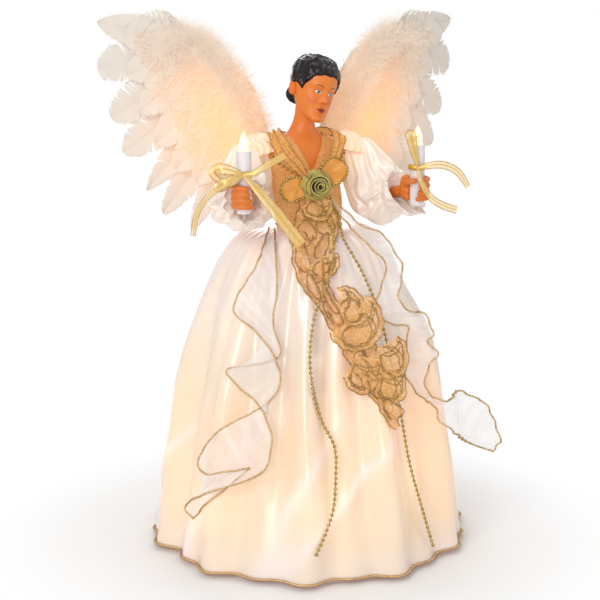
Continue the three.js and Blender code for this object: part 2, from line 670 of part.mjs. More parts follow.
// Ribbon that tumbles down the figure's left and ends in a tail that stands off the skirt.
const TUMBLE_OUTER = [
  [22, 0.022, 9], [31, 0.060, 11], [36, 0.092, 12], [37.5, 0.141, 12.5],
  [34, 0.196, 12], [33, 0.229, 13], [37, 0.256, 14.5], [41, 0.288, 15.5],
  [41.5, 0.326, 14.5], [39, 0.354, 13], [44, 0.392, 14], [52, 0.441, 15.5],
  [56, 0.490, 15.5], [66, 0.550, 17], [72, 0.604, 23], [73, 0.680, 31],
  [73, 0.773, 33],
];
const TUMBLE_INNER = [
  [16, 0.011, 5], [20, 0.038, 6], [26, 0.087, 7.5], [32.5, 0.141, 8.5],
  [28, 0.185, 9], [23.5, 0.218, 7.5], [20, 0.256, 6.5], [23.5, 0.288, 7.5],
  [28, 0.313, 8.5], [29, 0.354, 8], [27.5, 0.386, 7], [29, 0.424, 7],
  [32, 0.468, 7.5], [37, 0.528, 8.5], [47, 0.598, 10], [58, 0.669, 14],
  [66, 0.751, 20],
];

function cascadeRibbon() {
  return edgedRibbon(TUMBLE_OUTER, TUMBLE_INNER, 40);
}

// One arm: everything is placed from the shoulder pivot, the wrist and the candle's axis.
function armParts(side) {
  const pivot = shoulderPivot(side);
  const wrist = V(side * WRIST_OUT + CHEST_SWAY * 0.5, -WRIST_FORWARD, WRIST_Z);
  const level = wrist.clone().sub(pivot).setZ(0).normalize();
  const sideways = V(-level.y, level.x, 0);
  const elbow = wrist.clone().addScaledVector(level, -wrist.distanceTo(pivot) * 0.25);
  const armLine = new THREE.QuadraticBezierCurve3(pivot, elbow, wrist);
  const length = armLine.getLength();
  const fistZ = WRIST_Z + HAND_RISE;
  const candleFoot = wrist.clone().addScaledVector(level, HAND_REACH).setZ(fistZ - FIST_HEIGHT * 0.5 - 2);

  // Point at a run along the arm, out from its middle line, and round it from the side.
  const spot = (run, out, angle, droop = 0) => {
    const share = clamp(run / length, 0, 1);
    const along = armLine.getTangentAt(share);
    const above = V(0, 0, 1).addScaledVector(along, -along.z).normalize();
    return armLine.getPointAt(share).addScaledVector(along, run - share * length)
      .addScaledVector(sideways, out * Math.cos(angle))
      .addScaledVector(above, out * Math.sin(angle) - droop);
  };

  // Puffed sleeve: ball end in the shoulder socket, fullest past the middle, bored for the wires.
  const sleeve = () => {
    const inner = Math.sqrt(SHOULDER_BALL ** 2 - SLEEVE_BORE ** 2);
    const profile = [
      [-inner, SLEEVE_BORE], [-inner * 0.72, SHOULDER_BALL * 0.74], [-inner * 0.3, SHOULDER_BALL * 0.95],
      [length * 0.1, SHOULDER_BALL], [length * 0.28, lerp(SHOULDER_BALL, SLEEVE_FULLNESS, 0.4)],
      [length * 0.52, SLEEVE_FULLNESS], [length * 0.74, SLEEVE_FULLNESS * 0.98],
      [length * 0.92, lerp(SLEEVE_END_RADIUS, SLEEVE_FULLNESS, 0.45)], [length, SLEEVE_END_RADIUS],
      [length, SLEEVE_BORE], [length * 0.75, SLEEVE_BORE],
      [length * 0.5, SLEEVE_BORE], [length * 0.25, SLEEVE_BORE],
    ];
    const cloth = skin(turn(16, (angle) => profile.map(([run, out], i) => {
      const loose = i > 3 && i < 8 ? smoothstep(run / length, 0.1, 0.5) : 0;
      const crease = 1 + 0.06 * loose * Math.cos(5 * angle);
      return spot(run, out * crease, angle, 2.5 * loose)
        .addScaledVector(sideways, side * SLEEVE_SWAY * loose);
    })), true);
    const hollow = SHOULDER_BALL * 0.65;
    const wireWay = new THREE.CylinderGeometry(hollow, hollow, SHOULDER_BALL * 1.2, 8)
      .rotateZ(Math.PI / 2).translate(pivot.x - side * SHOULDER_BALL * 0.6, pivot.y, pivot.z);
    return cut(cloth, ball(pivot, hollow, V(1, 1, 1), 8), wireWay);
  };

  // Ruffled cuff: a flared frill round the wrist.
  const cuff = () => {
    const start = length + GAP;
    return skin(turn(18, (angle) => {
      const frill = 1.1 * Math.cos(6 * angle);
      return [
        [start, SLEEVE_BORE + 0.2], [start, CUFF_RADIUS * 0.55],
        [start + CUFF_LENGTH * 0.5 + frill, CUFF_RADIUS],
        [start + CUFF_LENGTH * 0.5 + 1 + frill, CUFF_RADIUS], [start + 1.6, CUFF_RADIUS * 0.55],
        [start + CUFF_LENGTH, SLEEVE_BORE + 1.2], [start + CUFF_LENGTH, SLEEVE_BORE + 0.2],
      ].map(([run, out]) => spot(run, out, angle));
    }), true);
  };

  const palm = wrist.clone().addScaledVector(level, HAND_REACH - CANDLE_RADIUS - 3).setZ(fistZ);
  const wirePath = [
    pivot, spot(length * 0.3, 0, 0), spot(length * 0.65, 0, 0), wrist, spot(length + 4, 0, 0),
  ];
  const below = -Math.PI / 2;
  const leadPath = [
    spot(length * 0.12, 2.4, below), spot(length * 0.5, 2.4, below), spot(length, 2.8, below),
    spot(length + CUFF_LENGTH, 3, below), palm.clone().setZ(candleFoot.z - 0.8),
    candleFoot.clone().addScaledVector(level, -4).add(V(0, 0, -2.5)),
    candleFoot.clone().add(V(0, 0, -3)).addScaledVector(level, -1),
    candleFoot.clone().add(V(0, 0, 1)), candleFoot.clone().add(V(0, 0, FIST_HEIGHT * 0.5)),
  ];

  // Fist: palm, four fingers curled round the candle and a thumb, cut free of candle and wires.
  const hand = () => {
    const ringRadius = CANDLE_RADIUS + GAP + FINGER_RADIUS * 1.08;
    const heading = Math.atan2(-level.y, -level.x);
    const axis = V(candleFoot.x, candleFoot.y, 0);
    const curl = (z, from, to, r) => bar(Array.from({ length: 6 }, (_, i) => {
      const angle = heading + lerp(from, to, i / 5);
      return V(ringRadius * Math.cos(angle), ringRadius * Math.sin(angle), z).add(axis);
    }), r, 5, 5);
    const pitch = FIST_HEIGHT / 4;
    const fingers = Array.from({ length: 4 }, (_, i) => (
      curl(fistZ + (i - 1.5) * pitch, 0.2 * side, -4.2 * side, FINGER_RADIUS * (i === 0 ? 0.85 : 1))));
    const thumb = curl(fistZ + 1.2 * pitch, -0.3 * side, 2 * side, FINGER_RADIUS * 1.05);
    const back = ball(palm, FIST_HEIGHT * 0.5, V(0.62, 0.62, 0.98), 8);
    const stub = bar([spot(length + 1, 0, 0), spot(length + 5, 0, 0), palm], 2.2, 6, 3);
    const bore = new THREE.CylinderGeometry(CANDLE_RADIUS + GAP, CANDLE_RADIUS + GAP, 60, 12)
      .rotateX(Math.PI / 2).translate(candleFoot.x, candleFoot.y, fistZ);
    return cut(
      joined(back, stub, thumb, ...fingers),
      bore,
      bar([spot(length, 0, 0), spot(length + 4 + GAP, 0, 0)], ARM_WIRE_RADIUS + 1.5 * GAP, 6, 1),
    );
  };

  const candle = () => turned([
    [CANDLE_RADIUS, 0], [CANDLE_RADIUS, CANDLE_HEIGHT], [CANDLE_BORE, CANDLE_HEIGHT], [CANDLE_BORE, 0],
  ], 16).translate(candleFoot.x, candleFoot.y, candleFoot.z);

  // Flame lamp: a stem in the candle's bore and a pointed bulb above it.
  const top = candleFoot.z + CANDLE_HEIGHT;
  const flame = () => stack([
    [top - FLAME_STEM, CANDLE_BORE - GAP - 0.4],
    [top - FLAME_STEM + 1.5, CANDLE_BORE - GAP],
    [top + GAP, CANDLE_BORE - GAP],
    [top + GAP, CANDLE_BORE + 0.8],
    [top + GAP + 1, CANDLE_BORE + 0.6],
    [top + FLAME_HEIGHT * 0.2, FLAME_RADIUS * 0.8],
    [top + FLAME_HEIGHT * 0.38, FLAME_RADIUS],
    [top + FLAME_HEIGHT * 0.6, FLAME_RADIUS * 0.78],
    [top + FLAME_HEIGHT * 0.83, FLAME_RADIUS * 0.36],
    [top + FLAME_HEIGHT, FLAME_RADIUS * 0.08],
  ], 10).translate(candleFoot.x, candleFoot.y, 0);

  // Ribbon tied round the candle above the fist, with its loops and tails.
  const bow = () => {
    const tie = V(candleFoot.x, candleFoot.y, fistZ + FIST_HEIGHT * 0.5 + TIE_WIDTH * 0.5 + 2.5);
    const knotRadius = CANDLE_RADIUS + GAP;
    const knot = turned([
      [knotRadius, -TIE_WIDTH / 2], [knotRadius + 1.2, -TIE_WIDTH / 2],
      [knotRadius + 1.2, TIE_WIDTH / 2], [knotRadius, TIE_WIDTH / 2],
    ], 12).translate(tie.x, tie.y, tie.z);
    const start = V(0, -knotRadius - 0.6, 0);
    const widthways = V(0.15, 0.35, 1);
    const strips = TIES[side].map((rows) => ribbon(
      [start, ...rows.map((row) => V(...row).multiplyScalar(TIE_WIDTH))].map((p) => p.clone().add(tie)),
      rows.length * 2 + 1,
      (t) => TIE_WIDTH * lerp(0.75, 1, smoothstep(t, 0, 0.3)),
      () => widthways.clone(),
    ));
    return joined(knot, ...strips);
  };

  return {
    arm_wire: bar(wirePath, ARM_WIRE_RADIUS, 5, 10),
    candle_lead: bar(leadPath, LEAD_RADIUS, 5, 18),
    sleeve: sleeve(),
    cuff: cuff(),
    hand: hand(),
    candle: candle(),
    flame_lamp: flame(),
    candle_bow: bow(),
  };
}

function shoulderWire() {
  const end = PIVOT_OUT - ARM_WIRE_RADIUS - GAP;
  const at = (x) => V(CHEST_SWAY + x, 0, PIVOT_Z);
  return bar([at(-end), at(0), at(end)], ARM_WIRE_RADIUS, 8, 4);
}

// Bracket on the back of the bodice with a post that ends at each wing's hinge.
const BRACKET_Y = Math.max(SHOULDER_HALF_DEPTH + 0.6, WAIST_HALF_DEPTH + 1) + LACE_OFFSET + GAP;

function wingBracket() {
  const plate = block(
    V(2 * HINGE_OUT + 8, BRACKET_THICKNESS, 18), V(0, BRACKET_Y + BRACKET_THICKNESS / 2, HINGE_Z));
  const postEnd = HINGE_BACK - WING_WIRE_RADIUS - GAP;
  const posts = [-1, 1].map((side) => bar(
    [V(side * HINGE_OUT, BRACKET_Y + 1, HINGE_Z), V(side * HINGE_OUT, postEnd, HINGE_Z)],
    WING_WIRE_RADIUS, 8, 2));
  return joined(plate, ...posts);
}

const FEATHER_BACK = BACKING_THICKNESS / 2 + GAP + 0.3;

// One wing in its own plane: out from the hinge, up from the hinge, forward of the backing.
function wingParts(side) {
  const sweep = rad(WING_SWEEP);
  const place = (out, up, forward) => V(
    side * (HINGE_OUT + out * Math.cos(sweep) + forward * Math.sin(sweep)),
    HINGE_BACK + out * Math.sin(sweep) - forward * Math.cos(sweep),
    HINGE_Z + up,
  );
  const leading = new THREE.SplineCurve(LEADING_EDGE.map(([a, b]) => new THREE.Vector2(a, b)));
  const tips = new THREE.SplineCurve(FEATHER_TIPS.map(([a, b]) => new THREE.Vector2(a, b)));

  const backing = () => {
    const outline = new THREE.Shape(BACKING_OUTLINE.map(([a, b]) => new THREE.Vector2(a, b)));
    const sheet = new THREE.ExtrudeGeometry(outline, { depth: BACKING_THICKNESS, bevelEnabled: false });
    const places = sheet.getAttribute('position');
    const points = Array.from({ length: places.count }, (_, i) => (
      place(places.getX(i), places.getY(i), places.getZ(i) - BACKING_THICKNESS / 2)));
    const faces = Array.from({ length: places.count }, (_, i) => i);
    const wire = bar([place(0, 0, 0), place(6, 1, 0), place(12, 3, 0)], WING_WIRE_RADIUS, 8, 4);
    return joined(outward(points, faces), wire);
  };

  const fluff = () => {
    const centre = FEATHER_BACK + FEATHER_PITCH * FEATHER_COUNT + GAP + FLUFF_DEPTH * 1.1;
    const steps = 13;
    return skin(Array.from({ length: steps + 1 }, (_, i) => {
      const t = i / steps;
      const at = leading.getPointAt(t);
      const run = leading.getTangentAt(t);
      const taper = Math.sqrt(Math.max(1 - (2 * t - 1) ** 6, 0.12));
      return turn(10, (angle) => {
        const tuft = taper * (1 + 0.1 * Math.cos(3 * angle + i * 2.1));
        const r = FLUFF_RADIUS * tuft * Math.cos(angle);
        return place(at.x - run.y * r, at.y + run.x * r, centre + FLUFF_DEPTH * tuft * Math.sin(angle));
      });
    }));
  };

  // Feather: a cambered blade with a raised quill, lying in its own layer of the wing.
  const feather = (index) => {
    const share = index / (FEATHER_COUNT - 1);
    const start = leading.getPointAt(lerp(0.84, 0, share));
    const tip = tips.getPoint(share);
    const heading = tip.clone().sub(start).normalize();
    const root = start.clone().addScaledVector(heading, 2);
    const layer = FEATHER_BACK + FEATHER_PITCH * (FEATHER_COUNT - 1 - index);
    const steps = 7;
    return skin(Array.from({ length: steps + 1 }, (_, i) => {
      const t = i / steps;
      const at = root.clone().lerp(tip, t);
      const bend = 2 * Math.sin(Math.PI * t);
      const half = FEATHER_WIDTH * 0.5 * Math.max(Math.sin(Math.PI * (0.06 + 0.86 * t ** 0.8)) ** 0.55, 0.1);
      const section = [
        [-half, 0.2], [-0.8, 0.25], [0, 0.5], [0.8, 0.25], [half, 0.2], [half, -0.2], [-half, -0.2],
      ];
      return section.map(([across, raise]) => {
        const out = at.x - heading.y * (across + bend);
        const up = at.y + heading.x * (across + bend);
        const past = Math.max(out - CURL_START, 0) / (FEATHER_TIPS[0][0] - CURL_START);
        return place(out, up, layer + raise - FEATHER_CURL * past ** 2);
      });
    }));
  };

  const parts = { wing_backing: backing(), wing_fluff: fluff() };
  for (let i = 0; i < FEATHER_COUNT; i += 1) {
    parts[`feather_${i + 1}`] = feather(i);
  }
  return parts;
}

const COLOURS = {
  satin: ['#f6ead8', 0.35, 0],
  gold: ['#c79a3a', 0.35, 0.8],
  lace: ['#c08a4e', 0.6, 0.2],
  organza: ['#f4e9d2', 0.5, 0],
  skin: ['#7a4526', 0.45, 0],
  hair: ['#1c1512', 0.35, 0],
  frame: ['#e9e2d4', 0.5, 0],
  wire: ['#3f5a3a', 0.5, 0],
  steel: ['#9aa0a6', 0.35, 0.8],
  lamp: ['#ffd58a', 0.2, 0],
  candle: ['#f4f1ea', 0.4, 0],
  feather: ['#f3ece2', 0.8, 0],
};

const group = new THREE.Group();
group.name = 'angel_tree_topper';

function add(name, geometry, colour) {
  const [color, roughness, metalness] = COLOURS[colour];
  geometry.computeVertexNormals();
  const mesh = new THREE.Mesh(geometry, new THREE.MeshStandardMaterial({ color, roughness, metalness }));
  mesh.name = name;
  group.add(mesh);
}

add('skirt_cone', skirtCone(), 'frame');
add('torso_block', torsoBlock(), 'frame');
add('head_bust', headBust(), 'skin');
add('hair', hair(), 'hair');
add('satin_skirt', satinSkirt(), 'satin');
add('hem_cord', hemCord(), 'gold');
add('lace_bodice', laceBodice(), 'lace');
add('lace_collar', laceCollar(), 'lace');
add('lace_cascade', laceCascade(), 'lace');
add('ribbon_rose', ribbonRose(), 'gold');
add('bead_bow', beadBow(), 'lace');
add('bead_strand_long', beadStrand(longStrand), 'gold');
add('bead_strand_short', beadStrand(shortStrand), 'gold');
add('spiral_ribbon', spiralRibbon(), 'organza');
add('cascade_ribbon', cascadeRibbon(), 'organza');
for (let i = 0; i < LAMP_COUNT; i += 1) {
  add(`lamp_${i + 1}`, lamp(i), 'lamp');
}
add('lamp_string', lampString(), 'wire');
add('shoulder_wire', shoulderWire(), 'steel');
add('wing_bracket', wingBracket(), 'frame');

const ARM_COLOURS = {
  arm_wire: 'steel',
  candle_lead: 'wire',
  sleeve: 'satin',
  cuff: 'satin',
  hand: 'skin',
  candle: 'candle',
  flame_lamp: 'lamp',
  candle_bow: 'organza',
};
for (const [side, suffix] of [[1, 'left'], [-1, 'right']]) {
  for (const [name, geometry] of Object.entries(armParts(side))) {
    add(`${name}_${suffix}`, geometry, ARM_COLOURS[name]);
  }
  for (const [name, geometry] of Object.entries(wingParts(side))) {
    add(`${name}_${suffix}`, geometry, name === 'wing_backing' ? 'frame' : 'feather');
  }
}

export default group;
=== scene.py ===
"""An angel tree topper: a lit satin skirt, a lace bodice, gold ribbons and feather wings."""

import math

import bpy
import numpy as np
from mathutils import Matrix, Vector, noise


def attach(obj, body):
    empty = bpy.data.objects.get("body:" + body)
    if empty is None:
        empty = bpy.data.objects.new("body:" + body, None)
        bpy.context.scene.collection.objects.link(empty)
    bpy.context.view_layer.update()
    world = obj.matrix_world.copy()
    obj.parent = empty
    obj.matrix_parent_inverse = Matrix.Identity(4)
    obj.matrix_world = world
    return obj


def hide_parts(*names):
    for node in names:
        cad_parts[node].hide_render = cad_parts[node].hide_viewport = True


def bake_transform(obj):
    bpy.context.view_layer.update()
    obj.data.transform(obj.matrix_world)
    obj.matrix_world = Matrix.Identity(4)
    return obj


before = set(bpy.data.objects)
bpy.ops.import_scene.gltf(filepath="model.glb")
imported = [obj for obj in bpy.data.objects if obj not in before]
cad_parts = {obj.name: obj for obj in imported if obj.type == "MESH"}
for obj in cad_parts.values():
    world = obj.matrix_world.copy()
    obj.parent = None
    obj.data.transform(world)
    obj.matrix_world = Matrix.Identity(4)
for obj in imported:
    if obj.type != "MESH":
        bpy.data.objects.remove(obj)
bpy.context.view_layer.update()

# The view: a long lens a little to the left of the front and just above the waist,
# with a pale floor that keeps the shadow and turns to plain white further off.
MM = 0.001
VIEW_AZIMUTH = math.radians(-18)
VIEW_HEIGHT = math.radians(12)
VIEW_DISTANCE = 0.9
VIEW_CENTRE = Vector((0, 0, 0.1423))
LIGHT_AIM = Vector((0, 0, 0.16))


def in_scene(name, data):
    """A new object with that data, linked to the scene."""
    thing = bpy.data.objects.new(name, data)
    bpy.context.scene.collection.objects.link(thing)
    return thing


view_lens = bpy.data.cameras.new("view")
view_lens.lens = 91.8
view_lens.sensor_width = 36
view_lens.shift_x = -0.015
view = in_scene("view", view_lens)
view_back = Vector((
    math.sin(VIEW_AZIMUTH) * math.cos(VIEW_HEIGHT),
    -math.cos(VIEW_AZIMUTH) * math.cos(VIEW_HEIGHT),
    math.sin(VIEW_HEIGHT),
))
view.location = VIEW_CENTRE + view_back * VIEW_DISTANCE
view.rotation_euler = view_back.to_track_quat("Z", "Y").to_euler()
bpy.context.scene.camera = view
bpy.context.scene.view_settings.view_transform = "Standard"


def soft_box(name, place, size, watts):
    """A square studio light that faces the middle of the figure."""
    lamp = bpy.data.lights.new(name, "AREA")
    lamp.size = size
    lamp.energy = watts
    holder = in_scene(name, lamp)
    holder.location = place
    holder.rotation_euler = (Vector(place) - LIGHT_AIM).to_track_quat("Z", "Y").to_euler()


soft_box("key_light", (-0.95, -0.85, 1.0), 0.5, 6.3)
soft_box("strip_light", (-0.62, -1.1, 0.42), 0.24, 3.0)
soft_box("fill_light", (1.1, -0.8, 0.6), 0.9, 2.6)
soft_box("top_light", (0.1, 0.25, 1.35), 0.9, 3.2)
soft_box("back_light", (0.3, 1.3, 0.7), 0.9, 4)


def set_inputs(node, values):
    """Sets plain values on a node's inputs."""
    for label, value in values.items():
        node.inputs[label].default_value = value


def tree_step(tree, kind, inputs, **settings):
    """A node with its settings, and with its inputs linked or set by name; returns the node."""
    step = tree.nodes.new(kind)
    for label, value in settings.items():
        setattr(step, label, value)
    for label, value in inputs.items():
        if isinstance(value, bpy.types.NodeSocket):
            tree.links.new(value, step.inputs[label])
        else:
            step.inputs[label].default_value = value
    return step


def tree_math(tree, operation, *terms):
    """A maths node whose terms are sockets or plain numbers; returns its output."""
    return tree_step(tree, "ShaderNodeMath", dict(enumerate(terms)), operation=operation).outputs[0]


def seen_ray(tree):
    """1 for rays that show the background: seen directly, mirrored or through glass."""
    ray = tree.nodes.new("ShaderNodeLightPath").outputs
    most = tree_math(tree, "MAXIMUM", ray["Is Camera Ray"], ray["Is Glossy Ray"])
    return tree_math(tree, "MAXIMUM", most, ray["Is Transmission Ray"])


world = bpy.data.worlds.new("studio")
world.use_nodes = True
bpy.context.scene.world = world
room = world.node_tree
room_light = room.nodes["Background"]
set_inputs(room_light, {"Color": (1, 1, 1, 1), "Strength": 0.4})
white_wall = tree_step(room, "ShaderNodeBackground", {"Color": (1, 1, 1, 1)})
pick_wall = tree_step(room, "ShaderNodeMixShader", {
    "Fac": seen_ray(room), 1: room_light.outputs["Background"], 2: white_wall.outputs["Background"]})
room.links.new(pick_wall.outputs["Shader"], room.nodes["World Output"].inputs["Surface"])

floor_mesh = bpy.data.meshes.new("floor")
floor_mesh.from_pydata([(-9, -9, 0), (9, -9, 0), (9, 9, 0), (-9, 9, 0)], [], [(0, 1, 2, 3)])
floor = in_scene("floor", floor_mesh)
floor_finish = bpy.data.materials.new("pale_floor")
floor_finish.use_nodes = True
floor_tree = floor_finish.node_tree
floor_shader = floor_tree.nodes["Principled BSDF"]
set_inputs(floor_shader, {"Base Color": (0.97, 0.97, 0.97, 1), "Roughness": 0.9})
floor_span = tree_step(floor_tree, "ShaderNodeVectorMath", {
    0: floor_tree.nodes.new("ShaderNodeTexCoord").outputs["Object"]}, operation="LENGTH")
floor_fade = tree_step(floor_tree, "ShaderNodeMapRange", {
    "Value": floor_span.outputs["Value"], "From Min": 0.085, "From Max": 0.2,
}, interpolation_type="SMOOTHSTEP")
floor_mix = tree_step(floor_tree, "ShaderNodeMixShader", {
    "Fac": tree_math(floor_tree, "MULTIPLY", floor_fade.outputs["Result"], seen_ray(floor_tree)),
    1: floor_shader.outputs["BSDF"],
    2: floor_tree.nodes.new("ShaderNodeEmission").outputs["Emission"],
})
floor_tree.links.new(floor_mix.outputs["Shader"], floor_tree.nodes["Material Output"].inputs["Surface"])
floor_mesh.materials.append(floor_finish)

# The skirt form and the body block: a white plastic cone that slips over the top of a tree, with
# a block plugged in its top. Both are mostly hidden by the cloth.


def tree_socket(tree, label, kind, way="INPUT"):
    """Adds a named socket to a node tree and returns it."""
    return tree.interface.new_socket(label, in_out=way, socket_type=kind)


def new_group(name, inputs, outputs):
    """An empty shader group with named sockets, the first for its coordinates; returns tree and inputs."""
    tree = bpy.data.node_groups.new(name, "ShaderNodeTree")
    tree_socket(tree, "Vector", "NodeSocketVector")
    for label, value in inputs.items():
        kind = "NodeSocketFloat" if isinstance(value, float) else "NodeSocketColor"
        tree_socket(tree, label, kind).default_value = value
    for label in outputs:
        tree_socket(tree, label, "NodeSocketColor" if label == "Color" else "NodeSocketFloat", "OUTPUT")
    return tree, tree.nodes.new("NodeGroupInput").outputs


# Colour that drifts between two tones, with a fine grain for the bump.
mottle, mottle_in = new_group(
    "mottle", {"Scale": 100.0, "Tone": (1, 1, 1, 1), "Second tone": (0, 0, 0, 1)}, ["Color", "Height"])
mottle_noise = tree_step(mottle, "ShaderNodeTexNoise", {
    "Vector": mottle_in["Vector"], "Scale": mottle_in["Scale"], "Detail": 4})
mottle_range = tree_step(mottle, "ShaderNodeMapRange", {
    "Value": mottle_noise.outputs["Fac"], "From Min": 0.3, "From Max": 0.7})
mottle_mix = tree_step(mottle, "ShaderNodeMix", {
    "Factor": mottle_range.outputs["Result"], "A": mottle_in["Tone"], "B": mottle_in["Second tone"],
}, data_type="RGBA")
tree_step(mottle, "NodeGroupOutput", {
    "Color": mottle_mix.outputs["Result"], "Height": mottle_noise.outputs["Fac"]})


def mottle_on(tree, scale, tone=(1, 1, 1), second=(0, 0, 0)):
    """The mottle in a material, by Object coordinates; returns its colour and height."""
    return tree_step(tree, "ShaderNodeGroup", {
        "Vector": tree.nodes.new("ShaderNodeTexCoord").outputs["Object"],
        "Scale": scale, "Tone": (*tone, 1), "Second tone": (*second, 1),
    }, node_tree=mottle).outputs


def new_finish(name, plain):
    """A material with plain values on its shader's sockets; returns the material and its tree."""
    material = bpy.data.materials.new(name)
    material.use_nodes = True
    set_inputs(material.node_tree.nodes["Principled BSDF"], plain)
    return material, material.node_tree


def feed(tree, results):
    """Links results into a material's shader."""
    for label, result in results.items():
        tree.links.new(result, tree.nodes["Principled BSDF"].inputs[label])


def bump_of(tree, height, strength, distance):
    """A normal raised by a height."""
    return tree_step(tree, "ShaderNodeBump", {
        "Strength": strength, "Distance": distance, "Height": height}).outputs["Normal"]


def mottled_finish(name, tone, second, scale, roughness, metallic=0.0, bump=0.15, depth=0.0003, plain=()):
    """A finish whose colour drifts between two tones, with a fine grain."""
    material, tree = new_finish(name, {"Roughness": roughness, "Metallic": metallic, **dict(plain)})
    tint = mottle_on(tree, scale, tone, second)
    feed(tree, {"Base Color": tint["Color"], "Normal": bump_of(tree, tint["Height"], bump, depth)})
    return material


def dress_node(name, material):
    """Gives a CAD node that stays in sight a finish of its own."""
    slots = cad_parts[name].data.materials
    slots.clear()
    slots.append(material)


card = mottled_finish("white_card", (0.84, 0.82, 0.77), (0.78, 0.75, 0.69), scale=220, roughness=0.75)
dress_node("skirt_cone", card)
dress_node("torso_block", card)

# The lamps: eight small glass bulbs on a thin insulated lead, lit warm. They are pushed through
# holes in the cone, under the skirt.
LAMP_COUNT = 8
bulb_glass = mottled_finish(
    "warm_bulb", (1.0, 0.8, 0.5), (1.0, 0.72, 0.38), scale=300, roughness=0.12, bump=0.05,
    plain={"Emission Color": (1.0, 0.66, 0.3, 1), "Emission Strength": 1.2})
for lamp_number in range(LAMP_COUNT):
    dress_node(f"lamp_{lamp_number + 1}", bulb_glass)
lead_skin = mottled_finish("clear_lead", (0.72, 0.7, 0.62), (0.62, 0.6, 0.5), scale=500, roughness=0.4)
dress_node("lamp_string", lead_skin)

# The shoulder wire and the wing bracket: a straight wire from shoulder to shoulder, and a plate on
# the back of the bodice with a post for each wing. Both have the same bright finish.
bright_wire = mottled_finish(
    "bright_wire", (0.62, 0.62, 0.62), (0.5, 0.5, 0.5), scale=400, roughness=0.3, metallic=1.0)
dress_node("shoulder_wire", bright_wire)
dress_node("wing_bracket", bright_wire)

# The skirt: one circle of ivory satin gathered at the waist, falling in soft bell folds.
# The light of the lamps inside it is painted on the cloth as warm glowing patches.
WAIST_RADIUS = 19.7
WAIST_HEIGHT = 187.0
HEM_RADIUS = 90.0
HEM_HEIGHT = 3.2
SKIRT_BELL = 0.36
FOLD_COUNT = 10
FOLD_DEPTH = 2.4
PLEAT_COUNT = 21
PLEAT_DEPTH = 1.8
GATHER_COUNT = 42
FOLD_TURN = math.radians(-20)
SKIRT_ROWS = 130
SKIRT_COLUMNS = 420
ROW_CROWDING = 1.3


def ease(value, low, high):
    """0 below low, 1 above high, smooth between."""
    share = np.clip((value - low) / (high - low), 0, 1)
    return share * share * (3 - 2 * share)


def bell(share):
    """Radius and height on the skirt's profile, from 0 at the waist to 1 at the hem."""
    share = np.clip(share, 0, 1)
    radius = WAIST_RADIUS + (HEM_RADIUS - WAIST_RADIUS) * share ** SKIRT_BELL
    return radius, WAIST_HEIGHT + (HEM_HEIGHT - WAIST_HEIGHT) * share


def fallen(height):
    """Share of the way from the waist to the hem, at a height."""
    return np.clip((WAIST_HEIGHT - height) / (WAIST_HEIGHT - HEM_HEIGHT), 0, 1)


def on_skirt(angle, height, lift):
    """A point over the skirt; the angle is in degrees from the front, towards the left arm."""
    share = fallen(height)
    angle = np.radians(angle)
    radius, level = bell(share)
    before, before_level = bell(share - 0.01)
    after, after_level = bell(share + 0.01)
    run = np.hypot(after - before, after_level - before_level)
    fold = FOLD_DEPTH * ease(share, 0.02, 0.5) * np.cos(FOLD_COUNT * (angle - FOLD_TURN))
    fold = fold + PLEAT_DEPTH * ease(share, 0.02, 0.3) * np.cos(PLEAT_COUNT * (angle - FOLD_TURN))
    radius = radius - (after_level - before_level) / run * lift + fold
    level = level + (after - before) / run * lift
    return np.stack([radius * np.sin(angle), -radius * np.cos(angle), level], -1)


def ripple(places, scale, seed):
    """Smooth noise from -1 to 1 at many places."""
    offset = Vector((seed * 7.31, seed * 3.77, seed * 5.13))
    return np.array([noise.noise(Vector(place) * scale + offset) for place in places])


def grid_of(rows, columns):
    """The row and column values at every point of a grid, row by row."""
    return [values.ravel() for values in np.meshgrid(rows, columns, indexing="ij")]


def around(count, start=-math.pi):
    """Angles at even steps once round."""
    return np.linspace(start, start + 2 * math.pi, count, endpoint=False)


def sheet_faces(rows, columns, closed=False):
    """Quads of a grid of points, row by row."""
    row, column = grid_of(np.arange(rows - 1), np.arange(columns if closed else columns - 1))
    here = row * columns + column
    beside = row * columns + (column + 1) % columns
    return np.stack([here, beside, beside + columns, here + columns], -1)


def paint_mesh(mesh, label, values):
    """Paints a colour or a share on each point of a mesh, under that name."""
    rgba = np.ones((len(mesh.vertices), 4))
    rgba[:, :3] = np.asarray(values).reshape(len(mesh.vertices), -1)
    mesh.color_attributes.new(label, "FLOAT_COLOR", "POINT").data.foreach_set("color", rgba.ravel())


def add_piece(name, points, faces, material, body, slot, flat_map=None, paint=None):
    """A smooth mesh piece from points in millimetres, on its body and in its material; the slot is not used.
    """
    mesh = bpy.data.meshes.new(name)
    mesh.from_pydata((np.asarray(points).reshape(-1, 3) * MM).tolist(), [], [tuple(f) for f in faces])
    mesh.polygons.foreach_set("use_smooth", [True] * len(mesh.polygons))
    if flat_map is not None:
        corners = np.empty(len(mesh.loops), dtype=np.int32)
        mesh.loops.foreach_get("vertex_index", corners)
        layer = mesh.uv_layers.new(name="cloth")
        layer.data.foreach_set("uv", np.asarray(flat_map).reshape(-1, 2)[corners].ravel())
    for label, values in (paint or {}).items():
        paint_mesh(mesh, label, values)
    mesh.materials.append(material)
    piece = in_scene(name, mesh)
    if body:
        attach(piece, body)
    return piece


def paint_of(tree, label):
    """In a material, the colour painted on the piece under that name."""
    return tree_step(tree, "ShaderNodeVertexColor", {}, layer_name=label).outputs["Color"]


